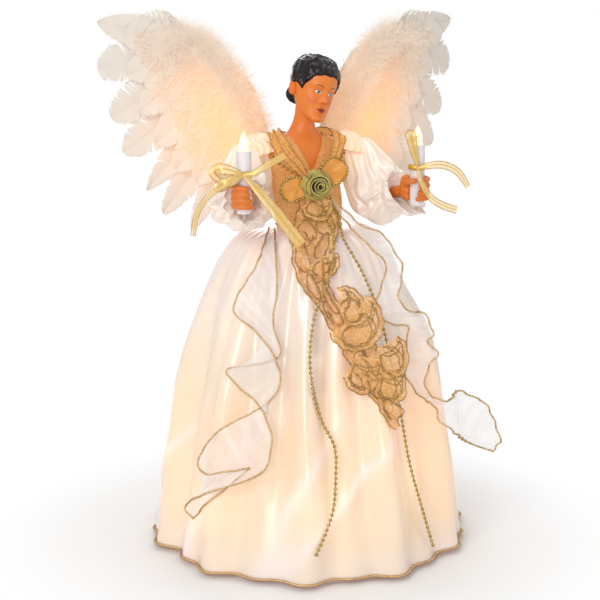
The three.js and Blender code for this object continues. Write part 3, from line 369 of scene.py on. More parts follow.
# Fine threads along both ways of a cloth, from its own flat map in metres.
weave, weave_in = new_group("weave", {"Threads": 3000.0}, ["Height"])
weave_ways = [tree_step(weave, "ShaderNodeTexWave", {
    "Vector": weave_in["Vector"], "Scale": weave_in["Threads"], "Distortion": 1.5,
}, bands_direction=way).outputs["Fac"] for way in "XY"]
tree_step(weave, "NodeGroupOutput", {"Height": tree_math(weave, "ADD", *weave_ways)})


def weave_on(tree, threads):
    """The height of a cloth's threads in a material."""
    return tree_step(tree, "ShaderNodeGroup", {
        "Vector": tree.nodes.new("ShaderNodeUVMap").outputs["UV"], "Threads": threads,
    }, node_tree=weave).outputs["Height"]


def satin_finish(name, tone, second, plain=()):
    """Satin: a soft broad shine, a fine weave, and the lamplight painted on the cloth."""
    material, tree = new_finish(name, {
        "Roughness": 0.27, "Specular IOR Level": 0.85, "Coat Weight": 0.35, "Coat Roughness": 0.22,
        "Sheen Weight": 0.15, "Sheen Roughness": 0.4, "Emission Strength": 1.0, **dict(plain)})
    feed(tree, {
        "Base Color": mottle_on(tree, 60, tone, second)["Color"],
        "Normal": bump_of(tree, weave_on(tree, 900), 0.08, 0.0001),
        "Emission Color": paint_of(tree, "glow"),
    })
    return material


skirt_share, skirt_turn = grid_of(np.linspace(0, 1, SKIRT_ROWS) ** ROW_CROWDING, around(SKIRT_COLUMNS))
skirt_out = np.stack([np.sin(skirt_turn), -np.cos(skirt_turn), 0 * skirt_turn], -1)
skirt_ring = skirt_out + skirt_share[:, None] * [0, 0, 1.1]
skirt_drift = ripple(skirt_ring, 1.4, 1)
skirt_crease = ripple(skirt_ring * [1, 1, 0.45] + 0.12 * skirt_drift[:, None], 2.6, 2)
skirt_drop = ease(skirt_share, 0.1, 0.55) * (1 - 0.7 * ease(skirt_share, 0.75, 1))
# Broad folds sway aside towards the hem.
sway_turn = skirt_turn + 0.95 * ease(skirt_share, 0.3, 1.05)
sway_fold = ripple(np.stack([
    np.sin(sway_turn), -np.cos(sway_turn), skirt_share * 0.7 + 0.1 * skirt_drift], -1), 1.9, 3)
skirt_rise = (
    5.6 * ease(skirt_share, 0.06, 0.4) * (0.24 - np.abs(skirt_crease))
    + 2.4 * skirt_drop * np.cos(FOLD_COUNT * (skirt_turn - FOLD_TURN) + 1.5 * skirt_drift)
    + 1.1 * skirt_drop * np.cos(PLEAT_COUNT * (skirt_turn - FOLD_TURN) + 2.6 * skirt_drift)
    + 4.6 * ease(skirt_share, 0.38, 0.8) * (0.2 - np.abs(sway_fold))
    + 0.7 * (1 - ease(skirt_share, 0.0, 0.45)) * ease(skirt_share, 0.0, 0.02)
    * np.cos(GATHER_COUNT * skirt_turn + 4 * skirt_drift)
)
# The cloth is drawn in under the left arm.
skirt_tuck = 5.5 * np.exp(-((np.degrees(skirt_turn) - 70) / 36) ** 2 - ((skirt_share - 0.2) / 0.12) ** 2)
skirt_points = on_skirt(np.degrees(skirt_turn), WAIST_HEIGHT - skirt_share * (WAIST_HEIGHT - HEM_HEIGHT), 0.8)
skirt_points = skirt_points + skirt_out * (skirt_rise - skirt_tuck)[:, None]
skirt_reach = np.hypot(skirt_points[:, 0], skirt_points[:, 1]).reshape(SKIRT_ROWS, SKIRT_COLUMNS)


def between(grid, row, column):
    """Values of a grid at rows and columns between its own; past the last column comes the first."""
    top = row.astype(int)
    left = column.astype(int) % grid.shape[1]
    right = (left + 1) % grid.shape[1]
    shape = row.shape + (1,) * (grid.ndim - 2)
    down = (row - top).reshape(shape)
    across = (column - np.floor(column)).reshape(shape)
    return (
        (1 - down) * ((1 - across) * grid[top, left] + across * grid[top, right])
        + down * ((1 - across) * grid[top + 1, left] + across * grid[top + 1, right])
    )


def clear_of_skirt(points, gap):
    """Points moved straight out where they would lie nearer to the satin than that gap."""
    points = np.asarray(points, dtype=float)
    row = np.clip(fallen(points[..., 2]) ** (1 / ROW_CROWDING) * (SKIRT_ROWS - 1), 0, SKIRT_ROWS - 1.001)
    turn = np.arctan2(points[..., 0], -points[..., 1])
    cloth = between(skirt_reach, row, (turn + math.pi) / (2 * math.pi) * SKIRT_COLUMNS)
    reach = np.hypot(points[..., 0], points[..., 1])
    grown = np.where(points[..., 2] < WAIST_HEIGHT, np.maximum(reach, cloth + gap), reach)
    return points * np.stack([grown / reach, grown / reach, np.ones_like(reach)], -1)


# The light painted on the cloth: a bright spot and a wide glow at each lamp, warm light painted in
# the valleys, a cool waist and hem, and painted pale highlight streaks on the crests of the swaying folds.
LAMP_HEIGHT = 44
LAMP_TURN = -15
lamplight = np.zeros((len(skirt_points), 3))
for lamp_number in range(LAMP_COUNT):
    lamp_place = on_skirt(
        LAMP_TURN + 360 / LAMP_COUNT * lamp_number, LAMP_HEIGHT + 8 * math.sin(2.4 * lamp_number), 0)
    lamp_span = np.linalg.norm(skirt_points - lamp_place, axis=1)
    lamplight += np.exp(-(lamp_span / 14) ** 2)[:, None] * [0.25, 0.20, 0.10]
    lamplight += np.exp(-(lamp_span / 44) ** 2)[:, None] * [0.14, 0.045, 0.0]
lamplight += (0.15 * ease(-skirt_crease, -0.1, 0.5) + 0.03)[:, None] * [1.0, 0.40, 0.11]
lamplight += (1 - ease(skirt_share, 0.1, 0.55))[:, None] * [0.0, 0.05, 0.135]
sway_crest = np.exp(-(sway_fold / 0.13) ** 2) * ease(skirt_share, 0.42, 0.7)
# Lower down, the painted light is dimmed except on the fold crests; painted cool highlights go on the crests
# and the hem.
lamplight *= 1 - (0.5 * ease(skirt_share, 0.5, 0.8) * (1 - sway_crest))[:, None]
lamplight *= 1 - 0.5 * ease(skirt_share, 0.86, 1.0)[:, None]
lamplight += (sway_crest + 0.5 * ease(skirt_share, 0.88, 1.0))[:, None] * [0.0, 0.055, 0.16]

ivory_satin = satin_finish("ivory_satin", (0.92, 0.73, 0.525), (0.90, 0.75, 0.575))
skirt_map = np.stack([skirt_turn * 60 * MM, skirt_share * 0.2], -1)
skirt = add_piece(
    "satin_skirt_cloth", skirt_points, sheet_faces(SKIRT_ROWS, SKIRT_COLUMNS, True)[:, ::-1],
    ivory_satin, "figure", "satin", skirt_map, {"glow": lamplight},
)
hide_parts("satin_skirt")

# The hem: a gold cord of three strands, laid round the edge of the satin and sewn on.


def line_tree(name, sizes):
    """An empty geometry tree with named sizes and a finish; returns tree, inputs and their identifiers."""
    tree = bpy.data.node_groups.new(name, "GeometryNodeTree")
    tree_socket(tree, "Geometry", "NodeSocketGeometry")
    keys = [tree_socket(tree, label, "NodeSocketFloat").identifier for label in sizes]
    keys.append(tree_socket(tree, "Finish", "NodeSocketMaterial").identifier)
    tree_socket(tree, "Geometry", "NodeSocketGeometry", "OUTPUT")
    return tree, tree.nodes.new("NodeGroupInput").outputs, keys


def end_tree(tree, geometry, finish):
    """Ends a geometry tree: instances made real, smooth and in their finish."""
    real = tree_step(tree, "GeometryNodeRealizeInstances", {"Geometry": geometry})
    smooth = tree_step(tree, "GeometryNodeSetShadeSmooth", {"Geometry": real.outputs["Geometry"]})
    done = tree_step(tree, "GeometryNodeSetMaterial", {
        "Geometry": smooth.outputs["Geometry"], "Material": finish})
    tree_step(tree, "NodeGroupOutput", {"Geometry": done.outputs["Geometry"]})


# Follows lines with a cord of three lobes that turn once in every pitch.
CORD_SIDES = 9
cord_tree, cord_in, cord_keys = line_tree("twisted_cord", ["Radius", "Pitch"])
cord_line = tree_step(cord_tree, "GeometryNodeMeshToCurve", {"Mesh": cord_in["Geometry"]})
cord_even = tree_step(cord_tree, "GeometryNodeResampleCurve", {
    "Curve": cord_line.outputs["Curve"], "Length": tree_math(cord_tree, "DIVIDE", cord_in["Pitch"], 6),
}, mode="LENGTH")
cord_run = cord_tree.nodes.new("GeometryNodeSplineParameter").outputs["Length"]
cord_turns = tree_math(cord_tree, "DIVIDE", cord_run, cord_in["Pitch"])
cord_twist = tree_step(cord_tree, "GeometryNodeSetCurveTilt", {
    "Curve": cord_even.outputs["Curve"], "Tilt": tree_math(cord_tree, "MULTIPLY", cord_turns, 2 * math.pi)})
cord_ring = tree_step(cord_tree, "GeometryNodeCurvePrimitiveCircle", {
    "Resolution": CORD_SIDES, "Radius": cord_in["Radius"]})
cord_index = cord_tree.nodes.new("GeometryNodeInputIndex").outputs["Index"]
cord_lobe = tree_math(
    cord_tree, "COSINE", tree_math(cord_tree, "MULTIPLY", cord_index, 2 * math.pi * 3 / CORD_SIDES))
cord_swell = tree_step(cord_tree, "ShaderNodeVectorMath", {
    0: cord_tree.nodes.new("GeometryNodeInputPosition").outputs["Position"],
    "Scale": tree_math(cord_tree, "MULTIPLY_ADD", cord_lobe, 0.28, 0.8),
}, operation="SCALE")
cord_profile = tree_step(cord_tree, "GeometryNodeSetPosition", {
    "Geometry": cord_ring.outputs["Curve"], "Position": cord_swell.outputs["Vector"]})
cord_skin = tree_step(cord_tree, "GeometryNodeCurveToMesh", {
    "Curve": cord_twist.outputs["Curve"], "Profile Curve": cord_profile.outputs["Geometry"],
    "Fill Caps": True,
})
end_tree(cord_tree, cord_skin.outputs["Mesh"], cord_in["Finish"])


def grow_piece(name, points, edges, faces, tree, values, body, slot):
    """Runs a node tree on a plain base and keeps the result as one piece on its body."""
    base_mesh = bpy.data.meshes.new(name + "_base")
    base_mesh.from_pydata((np.asarray(points).reshape(-1, 3) * MM).tolist(), edges, faces)
    base = in_scene(name + "_base", base_mesh)
    form = base.modifiers.new("form", "NODES")
    form.node_group = tree
    for identifier, value in values.items():
        form[identifier] = value
    ready = base.evaluated_get(bpy.context.evaluated_depsgraph_get())
    mesh = bpy.data.meshes.new_from_object(ready)
    base.modifiers.remove(form)
    bpy.data.objects.remove(base)
    mesh.name = name
    piece = in_scene(name, mesh)
    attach(piece, body)
    return piece


def lines_of(runs, closed=False):
    """Points and edges of several lines, for a tree that follows lines."""
    edges = []
    start = 0
    for run in runs:
        count = len(run)
        edges += [(start + i, start + i + 1) for i in range(count - 1)]
        if closed:
            edges.append((start + count - 1, start))
        start += count
    return np.concatenate(runs), edges


def twisted_cord(name, runs, finish, body, radius, pitch, closed=False):
    """Gold cords along lines of points, as one piece."""
    values = dict(zip(cord_keys, (radius * MM, pitch * MM, finish)))
    return grow_piece(name, *lines_of(runs, closed), [], cord_tree, values, body, "gold_cord")


gold_cord = mottled_finish(
    "gold_cord", (0.90, 0.62, 0.31), (0.46, 0.27, 0.09), scale=900, roughness=0.34, metallic=0.5,
    bump=0.4, depth=0.0002)
hem_line = skirt_points[-SKIRT_COLUMNS:] + skirt_out[:SKIRT_COLUMNS] * 0.9
hem_cord = twisted_cord("hem_cord_gold", [hem_line], gold_cord, "figure", radius=0.85, pitch=4.0, closed=True)
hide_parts("hem_cord")

# The head, neck and chest: one moulded vinyl piece with painted brows, eyes and lips, its head
# bowed, leaning and turned a little to the left. The chest sits in the bodice on the body block.
HEAD_SCALE = 0.93
HEAD_NOD = math.radians(8)
HEAD_LEAN = math.radians(14)
HEAD_TURN = math.radians(17)
HEAD_CENTRE = np.array([0.5, -6, 265.8])
HEAD_TOP = 20
# Level, half width, front and back of the plain head.
HEAD_FORM = [
    [-18.2, 3.0, -13.0, -7], [-17.2, 5.0, -14.6, -4], [-15, 7.4, -14.8, 0], [-12, 9.2, -14.4, 4],
    [-6, 11.4, -14.0, 10.5], [0, 12.7, -13.8, 14.5], [6, 13.3, -14.5, 16.4], [11, 12.7, -13.3, 16],
    [15.5, 10.2, -9.6, 13], [18.6, 6, -4.2, 8], [HEAD_TOP, 0.4, 1.4, 2.6],
]
# Level, half width, half depth, backward place and sideways place of the chest and neck.
CHEST_FORM = [
    [206.0, 19.4, 15.6, 0, -3.6], [214.4, 20.0, 16.0, 0, -4], [225.2, 21.3, 15.4, 0, -4],
    [232.5, 20.4, 13.8, 0, -4], [237.4, 15.2, 11.2, 0, -4], [240.8, 9.6, 8.8, 0, -4],
    [244.8, 7.0, 6.9, -0.4, -3.8], [251.0, 6.2, 6.3, -1.6, -2.8], [257.2, 6.6, 6.6, -3.0, -2],
    [263.0, 6.4, 6.4, -4.5, -1],
]
FACE_ROWS = 220
FACE_COLUMNS = 300
EAR_STEPS = 40
EAR_RINGS = 12
CHEST_ROWS = 90
CHEST_COLUMNS = 120
SKIN_TONE = np.array([0.80, 0.215, 0.026])


def smooth_step(share, first, leave, last, arrive):
    """From first to last, with the slopes at which it leaves and arrives."""
    return (
        (2 * share ** 3 - 3 * share ** 2 + 1) * first + (share ** 3 - 2 * share ** 2 + share) * leave
        + (3 * share ** 2 - 2 * share ** 3) * last + (share ** 3 - share ** 2) * arrive
    )


def smooth_rows(table, levels):
    """Smooth values at those levels from a table sorted by its first column."""
    rows = np.asarray(table, dtype=float)
    slopes = np.gradient(rows[:, 1:], rows[:, 0], axis=0)
    levels = np.clip(levels, rows[0, 0], rows[-1, 0])
    spot = np.clip(np.searchsorted(rows[:, 0], levels, side="right") - 1, 0, len(rows) - 2)
    span = (rows[spot + 1, 0] - rows[spot, 0])[:, None]
    share = (levels - rows[spot, 0])[:, None] / span
    return smooth_step(
        share, rows[spot, 1:], span * slopes[spot], rows[spot + 1, 1:], span * slopes[spot + 1])


def head_point(turn, level, growth):
    """A point on the head's plain form, in the head's own frame."""
    width, front, back = smooth_rows(HEAD_FORM, level).T
    return np.stack([
        (width + growth) * np.sin(turn),
        (front + back) / 2 - ((back - front) / 2 + growth) * np.cos(turn),
        level + growth * ease(level, 10, HEAD_TOP) - growth * (1 - ease(level, -18, -15)),
    ], -1)


def swung(first, second, angle):
    """Two coordinates turned by an angle, from the first towards the second."""
    return (first * math.cos(angle) - second * math.sin(angle),
            first * math.sin(angle) + second * math.cos(angle))


def pose_head(points):
    """Nods, leans, turns and places points of the head's own frame."""
    x, y, z = (np.asarray(points) * HEAD_SCALE).T
    y, z = swung(y, z, HEAD_NOD)
    x, z = swung(x, z, -HEAD_LEAN)
    x, y = swung(x, y, HEAD_TURN)
    return np.stack([x, y, z], -1) + HEAD_CENTRE


def hump(x, z, across, up, wide, tall):
    """A soft round rise on the face, 1 at its middle."""
    return np.exp(-(((x - across) / wide) ** 2 + ((z - up) / tall) ** 2))


def face_form():
    """A calm doll's face: its points in the head's own frame, and its paint."""
    spread = around(FACE_COLUMNS)
    level, turn = grid_of(
        np.concatenate([np.linspace(-18.2, 6, FACE_ROWS - 50), np.linspace(6, HEAD_TOP, 51)[1:]]),
        spread - 0.55 * np.sin(spread))
    points = head_point(turn, level, 0 * turn)
    x, z = points[:, 0], points[:, 2]
    side = np.abs(x)
    front = ease(np.cos(turn), 0.05, 0.5)
    nose = np.where(z > -4.9, 0.12 + 0.88 * ease(-z, -2.5, 4.9) ** 1.4, 1 - ease(-z, 4.9, 6.9))
    nose = nose * ease(-z, -4.5, -1.0)
    rise = front * (
        3.3 * nose * np.exp(-(x / (1.15 + 0.75 * nose)) ** 2)
        + 0.95 * hump(side, z, 1.9, -5.3, 0.9, 1.0)
        - 1.5 * hump(side, z, 4.6, 0.4, 2.7, 1.7)
        + 1.0 * hump(side, z, 4.7, 0.0, 1.7, 1.15)
        + 0.5 * hump(side, z, 4.6, 3.3, 3.4, 1.0)
        + 0.8 * hump(side, z, 6.6, -5.0, 2.8, 3.0)
        - 0.55 * hump(x, z, 0, -7.7, 0.6, 0.8)
        + 1.25 * hump(x, z, 0, -9.3, 2.6, 0.8) * (1 - 0.25 * hump(x, z, 0, -8.7, 0.5, 0.5))
        + 1.35 * hump(x, z, 0, -11.3, 2.1, 0.85)
        - 0.55 * hump(x, z, 0, -10.25, 2.9, 0.28)
        - 0.7 * hump(x, z, 0, -13.2, 2.6, 0.9)
        + 1.1 * hump(x, z, 0, -15.2, 3.0, 1.7)
    )
    points = points + np.stack([rise * 0.25 * np.sin(turn), -rise, 0 * rise], -1)

    brow = 3.1 + 1.1 * np.cos((side - 4.9) * 0.52)
    brow_reach = ease(side, 2.0, 3.0) * (1 - ease(side, 6.6, 7.9))
    eye_x = (side - 4.6) / 1.95
    eye_z = z - 0.05 - 0.12 * (side - 4.6)
    eye = front * ease(1 - eye_x ** 2 - eye_z ** 2, -0.08, 0.12)
    iris = np.hypot(x - np.sign(x) * 4.6 - 0.25, z)
    glint = np.hypot(x - np.sign(x) * 4.6 + 0.1, z - 0.38)
    lash = front * np.exp(-((np.hypot(eye_x, eye_z) - 1.0) / 0.16) ** 2)
    upper_lip = -8.7 - 0.34 * np.abs(side - 0.7) - 0.05 * x ** 2
    lower_lip = -12.15 + 0.22 * x ** 2
    lips = ease(upper_lip - z, -0.1, 0.25) * ease(z - lower_lip, -0.1, 0.3) * (1 - ease(side, 2.5, 3.1))
    paint = np.tile(SKIN_TONE, (len(points), 1))
    # The face's paint; the white spot in each eye is a painted glint of light.
    for share, colour in (
        (0.45 * front * hump(side, z, 6.8, -5.2, 2.8, 2.6), (0.72, 0.11, 0.035)),
        (0.85 * front * brow_reach * np.exp(-((z - brow) / 0.38) ** 2), (0.07, 0.022, 0.01)),
        (eye, (0.80, 0.76, 0.68)),
        (eye * (1 - ease(iris, 0.78, 0.95)), (0.045, 0.018, 0.008)),
        (eye * (1 - ease(iris, 0.32, 0.45)), (0.004, 0.003, 0.003)),
        (eye * (1 - ease(glint, 0.12, 0.26)), (0.95, 0.95, 0.95)),
        (lash * ease(eye_z, -0.05, 0.5), (0.015, 0.007, 0.004)),
        (0.45 * lash * ease(-eye_z, 0.1, 0.7), (0.10, 0.03, 0.012)),
        (0.9 * front * lips, (0.32, 0.045, 0.03)),
        (front * hump(x, z, 0, -10.25, 2.4, 0.2), (0.05, 0.006, 0.005)),
        (0.6 * front * hump(side, z, 0.85, -6.0, 0.5, 0.32), (0.12, 0.02, 0.008)),
    ):
        share = np.clip(share, 0, 1)[:, None]
        paint = paint * (1 - share) + np.array(colour) * share
    return points, paint


def ear_form(side):
    """An ear in the head's own frame: a cupped shell, with a rolled rim round a hollow."""
    turn, share = grid_of(around(EAR_STEPS, 0), np.linspace(0, 1, EAR_RINGS))
    reach = np.sin(share * math.pi * 0.5)
    rim = 1.9 * ease(share, 0.45, 0.72) * (1 - ease(share, 0.86, 1.0)) + 0.8 - 2.6 * ease(share, 0.9, 1.0)
    up = (3.9 + 0.8 * np.cos(turn)) * reach * np.cos(turn)
    back = (2.4 + 0.4 * np.cos(turn)) * reach * np.sin(turn) + up * 0.22
    return np.stack([side * (12.0 + 0.75 * rim + 0.16 * back), 2.4 + back, -3.0 + up], -1)


def chest_form():
    """The chest and the neck, as an oval tube."""
    level, turn = grid_of(np.linspace(206, 263, CHEST_ROWS), around(CHEST_COLUMNS))
    wide, deep, back, side = smooth_rows(CHEST_FORM, level).T
    return np.stack([side + wide * np.sin(turn), back - deep * np.cos(turn), level], -1)


def joined(parts):
    """Several meshes as one: its points, and its faces with their numbers moved on."""
    points = []
    faces = []
    start = 0
    for part_points, part_faces in parts:
        points.append(part_points)
        faces += [tuple(start + corner for corner in face) for face in part_faces]
        start += len(part_points)
    return np.concatenate(points), faces


vinyl, vinyl_tree = new_finish("painted_vinyl", {
    "Roughness": 0.42, "Subsurface Weight": 0.12, "Subsurface Radius": (0.004, 0.0015, 0.0006)})
feed(vinyl_tree, {
    "Base Color": paint_of(vinyl_tree, "paint"),
    "Normal": bump_of(vinyl_tree, mottle_on(vinyl_tree, 900)["Height"], 0.05, 0.0001),
})
face_points, face_paint = face_form()
ear_faces = sheet_faces(EAR_STEPS + 1, EAR_RINGS) % (EAR_STEPS * EAR_RINGS)
skin_points, skin_faces = joined([
    (pose_head(face_points), sheet_faces(FACE_ROWS, FACE_COLUMNS, True)),
    (pose_head(ear_form(-1)), ear_faces[:, ::-1]),
    (pose_head(ear_form(1)), ear_faces),
    (chest_form(), sheet_faces(CHEST_ROWS, CHEST_COLUMNS, True)),
])
skin_paint = np.concatenate([face_paint, np.tile(SKIN_TONE, (len(skin_points) - len(face_paint), 1))])
head_skin = add_piece(
    "head_bust_skin", skin_points, skin_faces, vinyl, "figure", "skin", None, {"paint": skin_paint})
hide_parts("head_bust")

# The hair: moulded in waves combed back from the brow to a bun at the nape, and painted glossy
# black-brown. It is one shell with the bun.
HAIRLINE = [
    [0, 10.2], [14, 10.6], [28, 9.6], [40, 8.6], [50, 5.2], [60, 2.4], [67, -0.8], [74, 0.2],
    [84, 1.6], [98, 1.4], [108, -0.6], [122, -7.5], [140, -11.5], [180, -12.8],
]
HAIR_ROWS = 110
HAIR_COLUMNS = 320
BUN_ROWS = 40
BUN_COLUMNS = 60


def hair_form():
    """The waves of hair, in the head's own frame."""
    share, turn = grid_of(np.linspace(0, 1, HAIR_ROWS), around(HAIR_COLUMNS))
    foot = smooth_rows(HAIRLINE, np.abs(np.degrees(turn)))[:, 0]
    level = foot + (HEAD_TOP - foot) * share
    spot = head_point(turn, level, 0 * turn)
    across = np.arctan2(spot[:, 0], 9.0 + 0.25 * np.abs(spot[:, 1]))
    along = spot[:, 1] - 0.6 * spot[:, 2]
    wave = across * 10 + 1.6 * np.sin(along * 0.5 + 2.0 * ripple(spot, 0.12, 4))
    ridge = 1 - np.abs(np.sin(wave)) ** 0.8
    strand = 0.07 * np.sin(across * 75 + 3.5 * np.sin(along * 0.62) + 2 * ripple(spot, 0.3, 5))
    edge = ease(share * (HEAD_TOP - foot), 0.0, 2.2)
    growth = 0.15 + edge * (1.25 + 0.72 * (ridge - 0.5) + strand + 0.3 * ripple(spot, 0.22, 6))
    return head_point(turn, level, growth)


def bun_form():
    """The wound bun, in the head's own frame."""
    tip, turn = grid_of(np.linspace(0, math.pi, BUN_ROWS), around(BUN_COLUMNS))
    size = 1 + 0.07 * np.abs(np.sin(3 * turn + 7 * tip)) + 0.02 * np.sin(24 * turn + 40 * tip)
    return np.stack([
        7.0 * size * np.sin(tip) * np.sin(turn),
        15.2 + 5.2 * size * np.cos(tip),
        -6.2 + 5.6 * size * np.sin(tip) * np.cos(turn),
    ], -1)


gloss_hair = mottled_finish(
    "moulded_hair", (0.012, 0.007, 0.005), (0.005, 0.003, 0.003), scale=300, roughness=0.12,
    bump=0.1, depth=0.0002, plain={"Specular IOR Level": 0.26})
hair_points, hair_faces = joined([
    (hair_form(), sheet_faces(HAIR_ROWS, HAIR_COLUMNS, True)),
    (bun_form(), sheet_faces(BUN_ROWS, BUN_COLUMNS, True)[:, ::-1]),
])
hair_piece = add_piece("hair_waves", pose_head(hair_points), hair_faces, gloss_hair, "figure", "hair")
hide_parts("hair")

# The bodice: gold lace over peach net, cut with a deep V neck and sewn round the chest.
# Its flowers of looped thread lie in cells with heavy outlines between them, over a fine net.
lace_pattern, lace_in = new_group("lace_pattern", {
    "Cell": 150.0, "Net": (1, 0.7, 0.5, 1), "Thread": (0.5, 0.3, 0.1, 1), "Cover": 0.6,
}, ["Color", "Cover", "Metal", "Height"])
lace_drift = tree_step(lace_pattern, "ShaderNodeTexNoise", {
    "Vector": lace_in["Vector"], "Scale": tree_math(lace_pattern, "MULTIPLY", lace_in["Cell"], 1.1),
    "Detail": 1.0,
})
lace_shift = tree_step(lace_pattern, "ShaderNodeVectorMath", {
    0: lace_drift.outputs["Color"], 1: (0.5, 0.5, 0.5)}, operation="SUBTRACT")
lace_step = tree_step(lace_pattern, "ShaderNodeVectorMath", {
    0: lace_shift.outputs["Vector"], "Scale": tree_math(lace_pattern, "DIVIDE", 2.2, lace_in["Cell"]),
}, operation="SCALE")
lace_bent = tree_step(lace_pattern, "ShaderNodeVectorMath", {
    0: lace_in["Vector"], 1: lace_step.outputs["Vector"]}, operation="ADD").outputs["Vector"]


def lace_cells(place, scale, feature):
    """Distance in a field of cells: to a cell's edge, or to its middle."""
    return tree_step(lace_pattern, "ShaderNodeTexVoronoi", {
        "Vector": place, "Scale": scale}, feature=feature, voronoi_dimensions="2D").outputs["Distance"]


def lace_range(value, low, high, at_low, at_high):
    """A value spread from one range to another."""
    return tree_step(lace_pattern, "ShaderNodeMapRange", {
        "Value": value, "From Min": low, "From Max": high, "To Min": at_low, "To Max": at_high,
    }).outputs["Result"]


lace_edge = lace_range(lace_cells(lace_bent, lace_in["Cell"], "DISTANCE_TO_EDGE"), 0.03, 0.11, 1.0, 0.0)
lace_heart = tree_math(lace_pattern, "MULTIPLY", lace_cells(lace_bent, lace_in["Cell"], "F1"), 26.0)
lace_loop = lace_range(tree_math(lace_pattern, "SINE", lace_heart), 0.45, 0.9, 0.0, 0.9)
lace_fine = tree_math(lace_pattern, "MULTIPLY", lace_in["Cell"], 4.5)
lace_mesh = lace_range(lace_cells(lace_in["Vector"], lace_fine, "DISTANCE_TO_EDGE"), 0.05, 0.14, 0.55, 0.0)
lace_most = tree_math(lace_pattern, "MAXIMUM", lace_edge, lace_loop)
lace_thread = tree_math(lace_pattern, "MAXIMUM", lace_most, lace_mesh)
lace_mix = tree_step(lace_pattern, "ShaderNodeMix", {
    "Factor": lace_thread, "A": lace_in["Net"], "B": lace_in["Thread"]}, data_type="RGBA")
tree_step(lace_pattern, "NodeGroupOutput", {
    "Color": lace_mix.outputs["Result"],
    "Cover": tree_math(lace_pattern, "MAXIMUM", lace_thread, lace_in["Cover"]),
    "Metal": tree_math(lace_pattern, "MULTIPLY", lace_thread, 0.35),
    "Height": lace_thread,
})


def lace_finish(name, net, thread, cover, cell, warm):
    """Sheer net with gold thread worked on it, and warm lamplight painted on it as a glow in the net's
    colour.
    """
    material, tree = new_finish(name, {
        "Roughness": 0.5, "Sheen Weight": 0.1, "Emission Color": (*net, 1), "Emission Strength": warm})
    pattern = tree_step(tree, "ShaderNodeGroup", {
        "Vector": tree.nodes.new("ShaderNodeUVMap").outputs["UV"],
        "Cell": cell, "Net": (*net, 1), "Thread": (*thread, 1), "Cover": cover,
    }, node_tree=lace_pattern).outputs
    feed(tree, {
        "Base Color": pattern["Color"], "Alpha": pattern["Cover"], "Metallic": pattern["Metal"],
        "Normal": bump_of(tree, pattern["Height"], 0.6, 0.0005),
    })
    return material


NECK_FOOT = 219.8
NECK_WIDE = 13 / 27
BODICE_FOOT = 184.0
BODICE_TOP = 239.4
PLEATS_ROUND = 46
# Level, half width, half depth, backward place and sideways place.
BODICE_FORM = [
    [184.0, 18.6, 16.6, 0, 0], [187.4, 18.6, 16.6, 0, 0], [201.1, 21.0, 17.8, 0, -2],
    [214.4, 21.6, 17.5, 0, -4], [225.2, 22.8, 16.8, 0, -4], [232.5, 22.0, 15.2, 0, -4],
    [237.4, 16.6, 12.5, 0, -4], [240.4, 10.6, 9.9, 0, -4],
]
BODICE_ROWS = 110
BODICE_COLUMNS = 180


def bodice_form():
    """The bodice's points, open at the V neck, and its flat map."""
    level, share = grid_of(
        np.linspace(BODICE_FOOT, BODICE_TOP, BODICE_ROWS), np.linspace(0, 1, BODICE_COLUMNS))
    wide, deep, back, side = smooth_rows(BODICE_FORM, level).T
    gap = np.arcsin(np.clip(NECK_WIDE * np.clip(level - NECK_FOOT, 0, None) / wide, 0, 0.97))
    turn = gap + (2 * math.pi - 2 * gap) * share
    pleat = 0.35 * np.cos(PLEATS_ROUND * turn + 2 * np.sin(level * 0.2)) * (1 - ease(level, 205, 222))
    points = np.stack([side + (wide + pleat) * np.sin(turn), back - (deep + pleat) * np.cos(turn), level], -1)
    return points, np.stack([turn * 20 * MM, level * MM], -1)


bodice_points, bodice_map = bodice_form()
copper_lace = lace_finish(
    "copper_lace", (1.0, 0.53, 0.18), (0.44, 0.20, 0.04), cover=0.8, cell=310, warm=0.22)
bodice = add_piece("bodice_lace", bodice_points, sheet_faces(BODICE_ROWS, BODICE_COLUMNS), copper_lace,
                   "figure", "lace", bodice_map)
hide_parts("lace_bodice")

# The collar: a wide ruffle of the same lace along the V neck and over the shoulders, with a
# looped gold edge and gold threads along its gathers.


def through(places, count):
    """A smooth line through places, as that many points at even steps from place to place."""
    places = np.asarray(places, dtype=float)
    knots = np.concatenate([[2 * places[0] - places[1]], places, [2 * places[-1] - places[-2]]])
    steps = np.sqrt(np.maximum(np.linalg.norm(np.diff(knots, axis=0), axis=1), 1e-6))
    times = np.concatenate([[0], np.cumsum(steps)])
    spot = np.linspace(0, len(places) - 1, count)
    leg = np.minimum(spot.astype(int), len(places) - 2)
    t0, t1, t2, t3 = (times[leg + i][:, None] for i in range(4))
    p0, p1, p2, p3 = (knots[leg + i] for i in range(4))
    leave = (p1 - p0) / (t1 - t0) - (p2 - p0) / (t2 - t0) + (p2 - p1) / (t2 - t1)
    arrive = (p2 - p1) / (t2 - t1) - (p3 - p1) / (t3 - t1) + (p3 - p2) / (t3 - t2)
    return smooth_step((spot - leg)[:, None], p1, leave * (t2 - t1), p2, arrive * (t2 - t1))


def unit(vectors):
    """Vectors scaled to length 1."""
    return vectors / np.maximum(np.linalg.norm(vectors, axis=-1, keepdims=True), 1e-9)


def run_of(line):
    """Distance along a line at each of its points."""
    return np.concatenate([[0], np.cumsum(np.linalg.norm(np.diff(line, axis=0), axis=1))])


def at_run(spots, run, values):
    """Values of a line at those distances along it."""
    return np.stack([np.interp(spots, run, values[:, i]) for i in range(values.shape[1])], -1)


def flat_of(*sides):
    """A flat map in metres from lengths and widths in millimetres."""
    return np.stack(np.broadcast_arrays(*sides), -1) * MM


